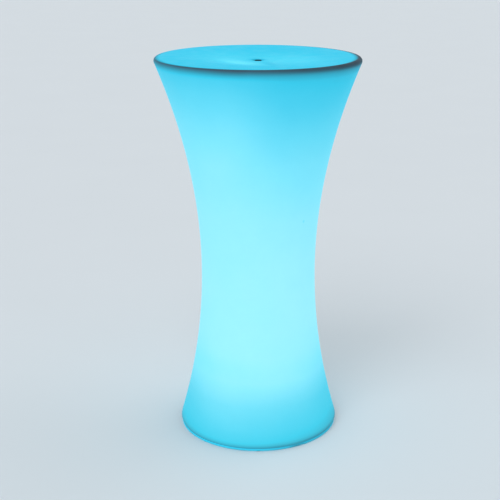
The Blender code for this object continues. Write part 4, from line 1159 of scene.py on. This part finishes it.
def make_control_board():
    """Board with a chip and its legs, a coil and a connector at each end."""
    low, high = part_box("control_board")
    top, y = low.z + BOARD_WALL, middle_of("control_board").y
    board = rounded_block(low, (high.x, high.y, top), BOARD_EDGE)
    drill(board, SMALL_HOLE, low.z, top, places("board_screw", 4))

    side_length, tall = CHIP
    half, step = side_length / 2, side_length / CHIP_LEGS
    chip = upright_block((-half, y), (half, half), top, top + tall, CHIP_EDGE)
    leg_half, leg_reach, leg_tall = CHIP_LEG
    spots = [(step * (leg + 0.5) - side_length, y + way * half)
             for leg in range(CHIP_LEGS) for way in (-1, 1)]
    leg = upright_block((0, 0), (leg_half, leg_reach), top, top + leg_tall, CHIP_LEG_EDGE)
    legs = joined(copies(leg, spots))

    dish, dish_depth = COIL_DISH
    turns = between(top + COIL_WIRE_START, high.z - COIL_WIRE_START, 16)
    rings = [(0, top), (COIL_RADIUS, top), (COIL_RADIUS, top + COIL_FLANGE)]
    rings += [(COIL_RADIUS * COIL_WIRE[step % 2], level) for step, level in enumerate(turns)]
    rings += [(COIL_RADIUS, high.z - COIL_FLANGE), (COIL_RADIUS, high.z), (COIL_RADIUS * dish, high.z),
              (0, high.z - dish_depth)]
    coil = turn(rings, KNOB_SIDES, (2 * COIL_RADIUS, y))

    inset, length, width = CONNECTOR
    from_end, slot_share, slot_depth = CONNECTOR_SLOT
    shell = upright_block((0, 0), (length / 2, width / 2), top, high.z, BOARD_EDGE)
    cut(shell, *[upright_block((0, width * share), (length / 2 - from_end, width * slot_share),
                               high.z - slot_depth, high.z + OVERRUN, CHIP_EDGE)
                 for share in CONNECTOR_SLOTS])
    reach = high.x - inset - length / 2
    connectors = joined(copies(shell, [(-reach, y), (reach, y)]))
    for piece, name, material in ((board, "board", BOARD), (chip, "chip", SWITCH), (legs, "legs", STEEL),
                                  (coil, "coil", COPPER), (connectors, "connectors", HOUSING)):
        finished(piece, f"controller_{name}", material, "control_board")


def make_lamp():
    """Disc with rings of light chips, and the reflector round them."""
    low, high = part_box("led_board")
    radius, top = high.x, low.z + BOARD_WALL
    section = [(0, low.z), (radius, low.z, LAMP_EDGE, 3), (radius, top, LAMP_EDGE, 3), (0, top)]
    disc = turn(rounded(section), UNIT_SIDES)
    drill(disc, SMALL_HOLE, low.z, top, places("dome_screw", 4))
    finished(disc, "lamp_disc", LAMP_BOARD, "led_board")
    half = LIGHT_SIDE / 2
    package = upright_block((0, 0), (half, half), top, high.z - LIGHT_EDGE, LIGHT_EDGE)
    weld(package, turn([(half * share, high.z - depth) for share, depth in LIGHT_WINDOW], SCREW_SIDES))
    angles = [(ring, 2 * math.pi * number / count)
              for ring, count in LIGHT_RINGS for number in range(count)]
    chips = joined(copies(package, [(ring * math.cos(a), ring * math.sin(a)) for ring, a in angles]))
    finished(chips, "light_chips", PHOSPHOR, "led_board")

    low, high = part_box("led_reflector")
    foot, wall, flare = REFLECTOR
    outer, edge = foot + flare, wall / 5
    cone = turn([(foot, low.z), (foot + wall, low.z), (outer, high.z - wall / 2), (outer, high.z - edge),
                 (outer - edge, high.z), (outer - wall + edge, high.z), (outer - wall, high.z - edge)],
                UNIT_SIDES, closed=True)
    finished(cone, "lamp_reflector", MIRROR, "led_reflector")


def make_dome():
    """The seal on the lamp's disc and the ribbed dome on the seal."""
    width, flange_wall = DOME_FLANGE
    radius, holes = half_width("led_board"), places("dome_screw", 4)
    inner = radius - width
    low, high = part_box("dome_seal")
    section = ring_section(inner, radius, low.z, high.z, (high.z - low.z) * SEAL_ROUND, 1)
    seal = turn(section, UNIT_SIDES, closed=True)
    drill(seal, SMALL_HOLE, low.z, high.z, holes)
    finished(seal, "lamp_seal", RUBBER, "dome_seal")

    low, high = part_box("light_dome")
    flange_top = low.z + flange_wall
    angles = spread(0, QUARTER, DOME_STEPS)[1:]
    rings = [(inner * math.sin(a), flange_top + (high.z - flange_top) * math.cos(a)) for a in angles]
    rings += [(radius, flange_top, LAMP_EDGE, 1), (radius, low.z, LAMP_EDGE, 1)]
    for step, a in enumerate(reversed(angles)):
        deeper = DOME_RIDGE * (step % 2) - DOME_WALL
        rings.append(((inner + deeper) * math.sin(a), low.z + (high.z - low.z + deeper) * math.cos(a)))
    dome = turn([(0, high.z), *rounded(rings), (0, high.z - DOME_WALL)], UNIT_SIDES)
    drill(dome, SMALL_HOLE, low.z, flange_top, holes)
    finished(dome, "lamp_dome", DOME, "light_dome")


def make_nuts():
    """Six-sided nuts on the bezel's and the socket's barrels."""
    for node, barrel in (("button_nut", BEZEL_BARREL), ("socket_nut", SOCKET_BARREL)):
        low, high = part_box(node)
        middle = middle_of(node)
        nut = round_bar(half_width(node), high.z - low.z, middle, sides=6)
        soften(nut, NUT_EDGE, segments=2)
        drill(nut, barrel + SEAT_GAP, low.z, high.z, [middle.xy])
        finished(nut, node.replace("nut", "ring_nut"), NICKEL, node)


def make_switch():
    """Switch that the button presses: body, collar round the stem's bore and solder pins."""
    low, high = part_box("button_switch")
    middle = middle_of("button_switch").xy
    step = Vector((0, 0, SWITCH_STEP))
    body = rounded_block(low + step, high - step, SWITCH_EDGE)
    weld(body, upright_bar(2 * STEM_RADIUS, low.z, low.z + 2 * SWITCH_STEP, middle))
    reach = half_width("button_switch") * SWITCH_PIN_REACH
    weld(body, *[upright_block(middle + Vector((x * reach, y * reach)), SWITCH_PIN,
                               high.z - 2 * SWITCH_STEP, high.z, SWITCH_PIN_EDGE)
                 for x in (-1, 1) for y in (-1, 1)])
    bore_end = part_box("power_button")[1].z + STEM_ROOM
    cut(body, upright_bar(STEM_RADIUS + SEAT_GAP, low.z - OVERRUN, bore_end, middle))
    finished(body, "switch_body", SWITCH, "button_switch")


make_shell()
make_plug()
make_pan()
make_feet()
make_screws("pan_screw", "pan_fixing", 6, PAN_SCREW)
make_screws("module_screw", "unit_fixing", 6, UNIT_SCREW)
make_housing()
make_gasket()
make_bezel()
make_button()
make_lens()
make_socket()
make_cap()
make_hinge_pin()
make_cells()
make_saddle("battery_cradle", "cell_cradle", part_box("battery_cradle")[1].z - SADDLE_TAB[2])
make_saddle("battery_clamp", "cell_clamp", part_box("battery_clamp")[0].z)
make_control_board()
make_lamp()
make_dome()
make_nuts()
make_switch()
for held, number_of in (("clamp", 2), ("board", 4), ("dome", 4)):
    make_screws(f"{held}_screw", f"{held}_fixing", number_of, SMALL_SCREW, head_up=True)

# The two leads keep their shapes
for node_name in ("battery_lead", "led_lead"):
    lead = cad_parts[node_name]
    lead.data.materials.clear()
    lead.data.materials.append(SLEEVE)


# Floor, light and camera
FLOOR_COLOUR = from_screen(214, 221, 226)
BACKDROP_COLOUR = from_screen(222, 228, 232)
FLOOR_REACH = 40.0
FLOOR_PATCHES = 0.5
FLOOR_TINT = (0.985, 1.01)
FLOOR_ROUGHNESS = 0.7
WORLD_COLOUR = (0.97, 0.985, 1.0)
WORLD_LIGHT = 0.62
# Name, strength, direction and spread in degrees
LAMPS = (("key", 1.1, (-0.35, -0.85, 1.0), 40), ("fill", 0.5, (0.9, 0.35, 0.9), 60))


def make_floor():
    """Pale floor that is clear from below and keeps the table's shadow."""
    clear_selection()
    bpy.ops.mesh.primitive_circle_add(vertices=96, radius=FLOOR_REACH, fill_type="NGON",
                                      location=(0, 0, 0))
    floor = bpy.context.object
    floor.name = "floor"
    finish = Finish("pale_floor", specular=0.2)
    patches = finish.noise(FLOOR_PATCHES, detail=4)
    finish.surface(finish.tint(FLOOR_COLOUR, patches, *FLOOR_TINT), FLOOR_ROUGHNESS)
    shaders = {0: finish.add("ShaderNodeNewGeometry", "Backfacing"), 1: finish.shader.outputs[0],
               2: finish.add("ShaderNodeBsdfTransparent", 0)}
    mix = finish.add("ShaderNodeMixShader", 0, shaders)
    feed(finish.tree, finish.tree.nodes["Material Output"].inputs[0], mix)
    floor.data.materials.append(finish.material)
    floor.visible_diffuse = False
    floor.visible_shadow = False


def light_the_stage():
    """Even light from all round, a key and a fill; the camera and what shines see the pale backdrop."""
    world = bpy.data.worlds.new("soft_studio")
    bpy.context.scene.world = world
    world.use_nodes = True
    tree = world.node_tree
    light = tree.nodes["Background"]
    feed(tree, light.inputs["Color"], WORLD_COLOUR)
    feed(tree, light.inputs["Strength"], WORLD_LIGHT)
    paths = tree.nodes.new("ShaderNodeLightPath").outputs
    share = paths["Is Camera Ray"]
    for kind in ("Is Glossy Ray", "Is Transmission Ray"):
        share = add_node(tree, "ShaderNodeMath", 0, {0: share, 1: paths[kind]}, operation="MAXIMUM")
    seen = add_node(tree, "ShaderNodeBackground", 0, {"Color": BACKDROP_COLOUR})
    mix = add_node(tree, "ShaderNodeMixShader", 0, {0: share, 1: light.outputs[0], 2: seen})
    feed(tree, tree.nodes["World Output"].inputs[0], mix)
    for name, strength, direction, spread in LAMPS:
        lamp = bpy.data.lights.new(name, "SUN")
        lamp.energy = strength
        lamp.angle = math.radians(spread)
        holder = bpy.data.objects.new(name, lamp)
        holder.rotation_euler = Vector(direction).to_track_quat("Z", "Y").to_euler()
        bpy.context.scene.collection.objects.link(holder)


# The camera that the photograph's outline and a height of 1.10 m give. The photograph is a crop, so
# the camera's own middle lies a little to the right of the picture's and above it.
CAMERA_PLACE = Vector((0.0, -3.0427, 1.4755))
CAMERA_PITCH = math.radians(16.6627)
CAMERA_YAW = math.radians(-1.0301)
CAMERA_ROLL = math.radians(0.2399)
CAMERA_LENS = 78.07
CAMERA_SHIFT = (-0.05395, -0.01975)
SENSOR_WIDTH = 36.0


def place_camera():
    lens = bpy.data.cameras.new("camera")
    lens.lens = CAMERA_LENS
    lens.sensor_width = SENSOR_WIDTH
    lens.shift_x, lens.shift_y = CAMERA_SHIFT
    camera = bpy.data.objects.new("camera", lens)
    camera.matrix_world = Matrix.Translation(CAMERA_PLACE)
    for angle, axis in ((CAMERA_YAW, "Z"), (QUARTER - CAMERA_PITCH, "X"), (CAMERA_ROLL, "Z")):
        camera.matrix_world = camera.matrix_world @ Matrix.Rotation(angle, 4, axis)
    bpy.context.scene.collection.objects.link(camera)
    bpy.context.scene.camera = camera


make_floor()
light_the_stage()
place_camera()
bpy.context.scene.view_settings.view_transform = "Standard"
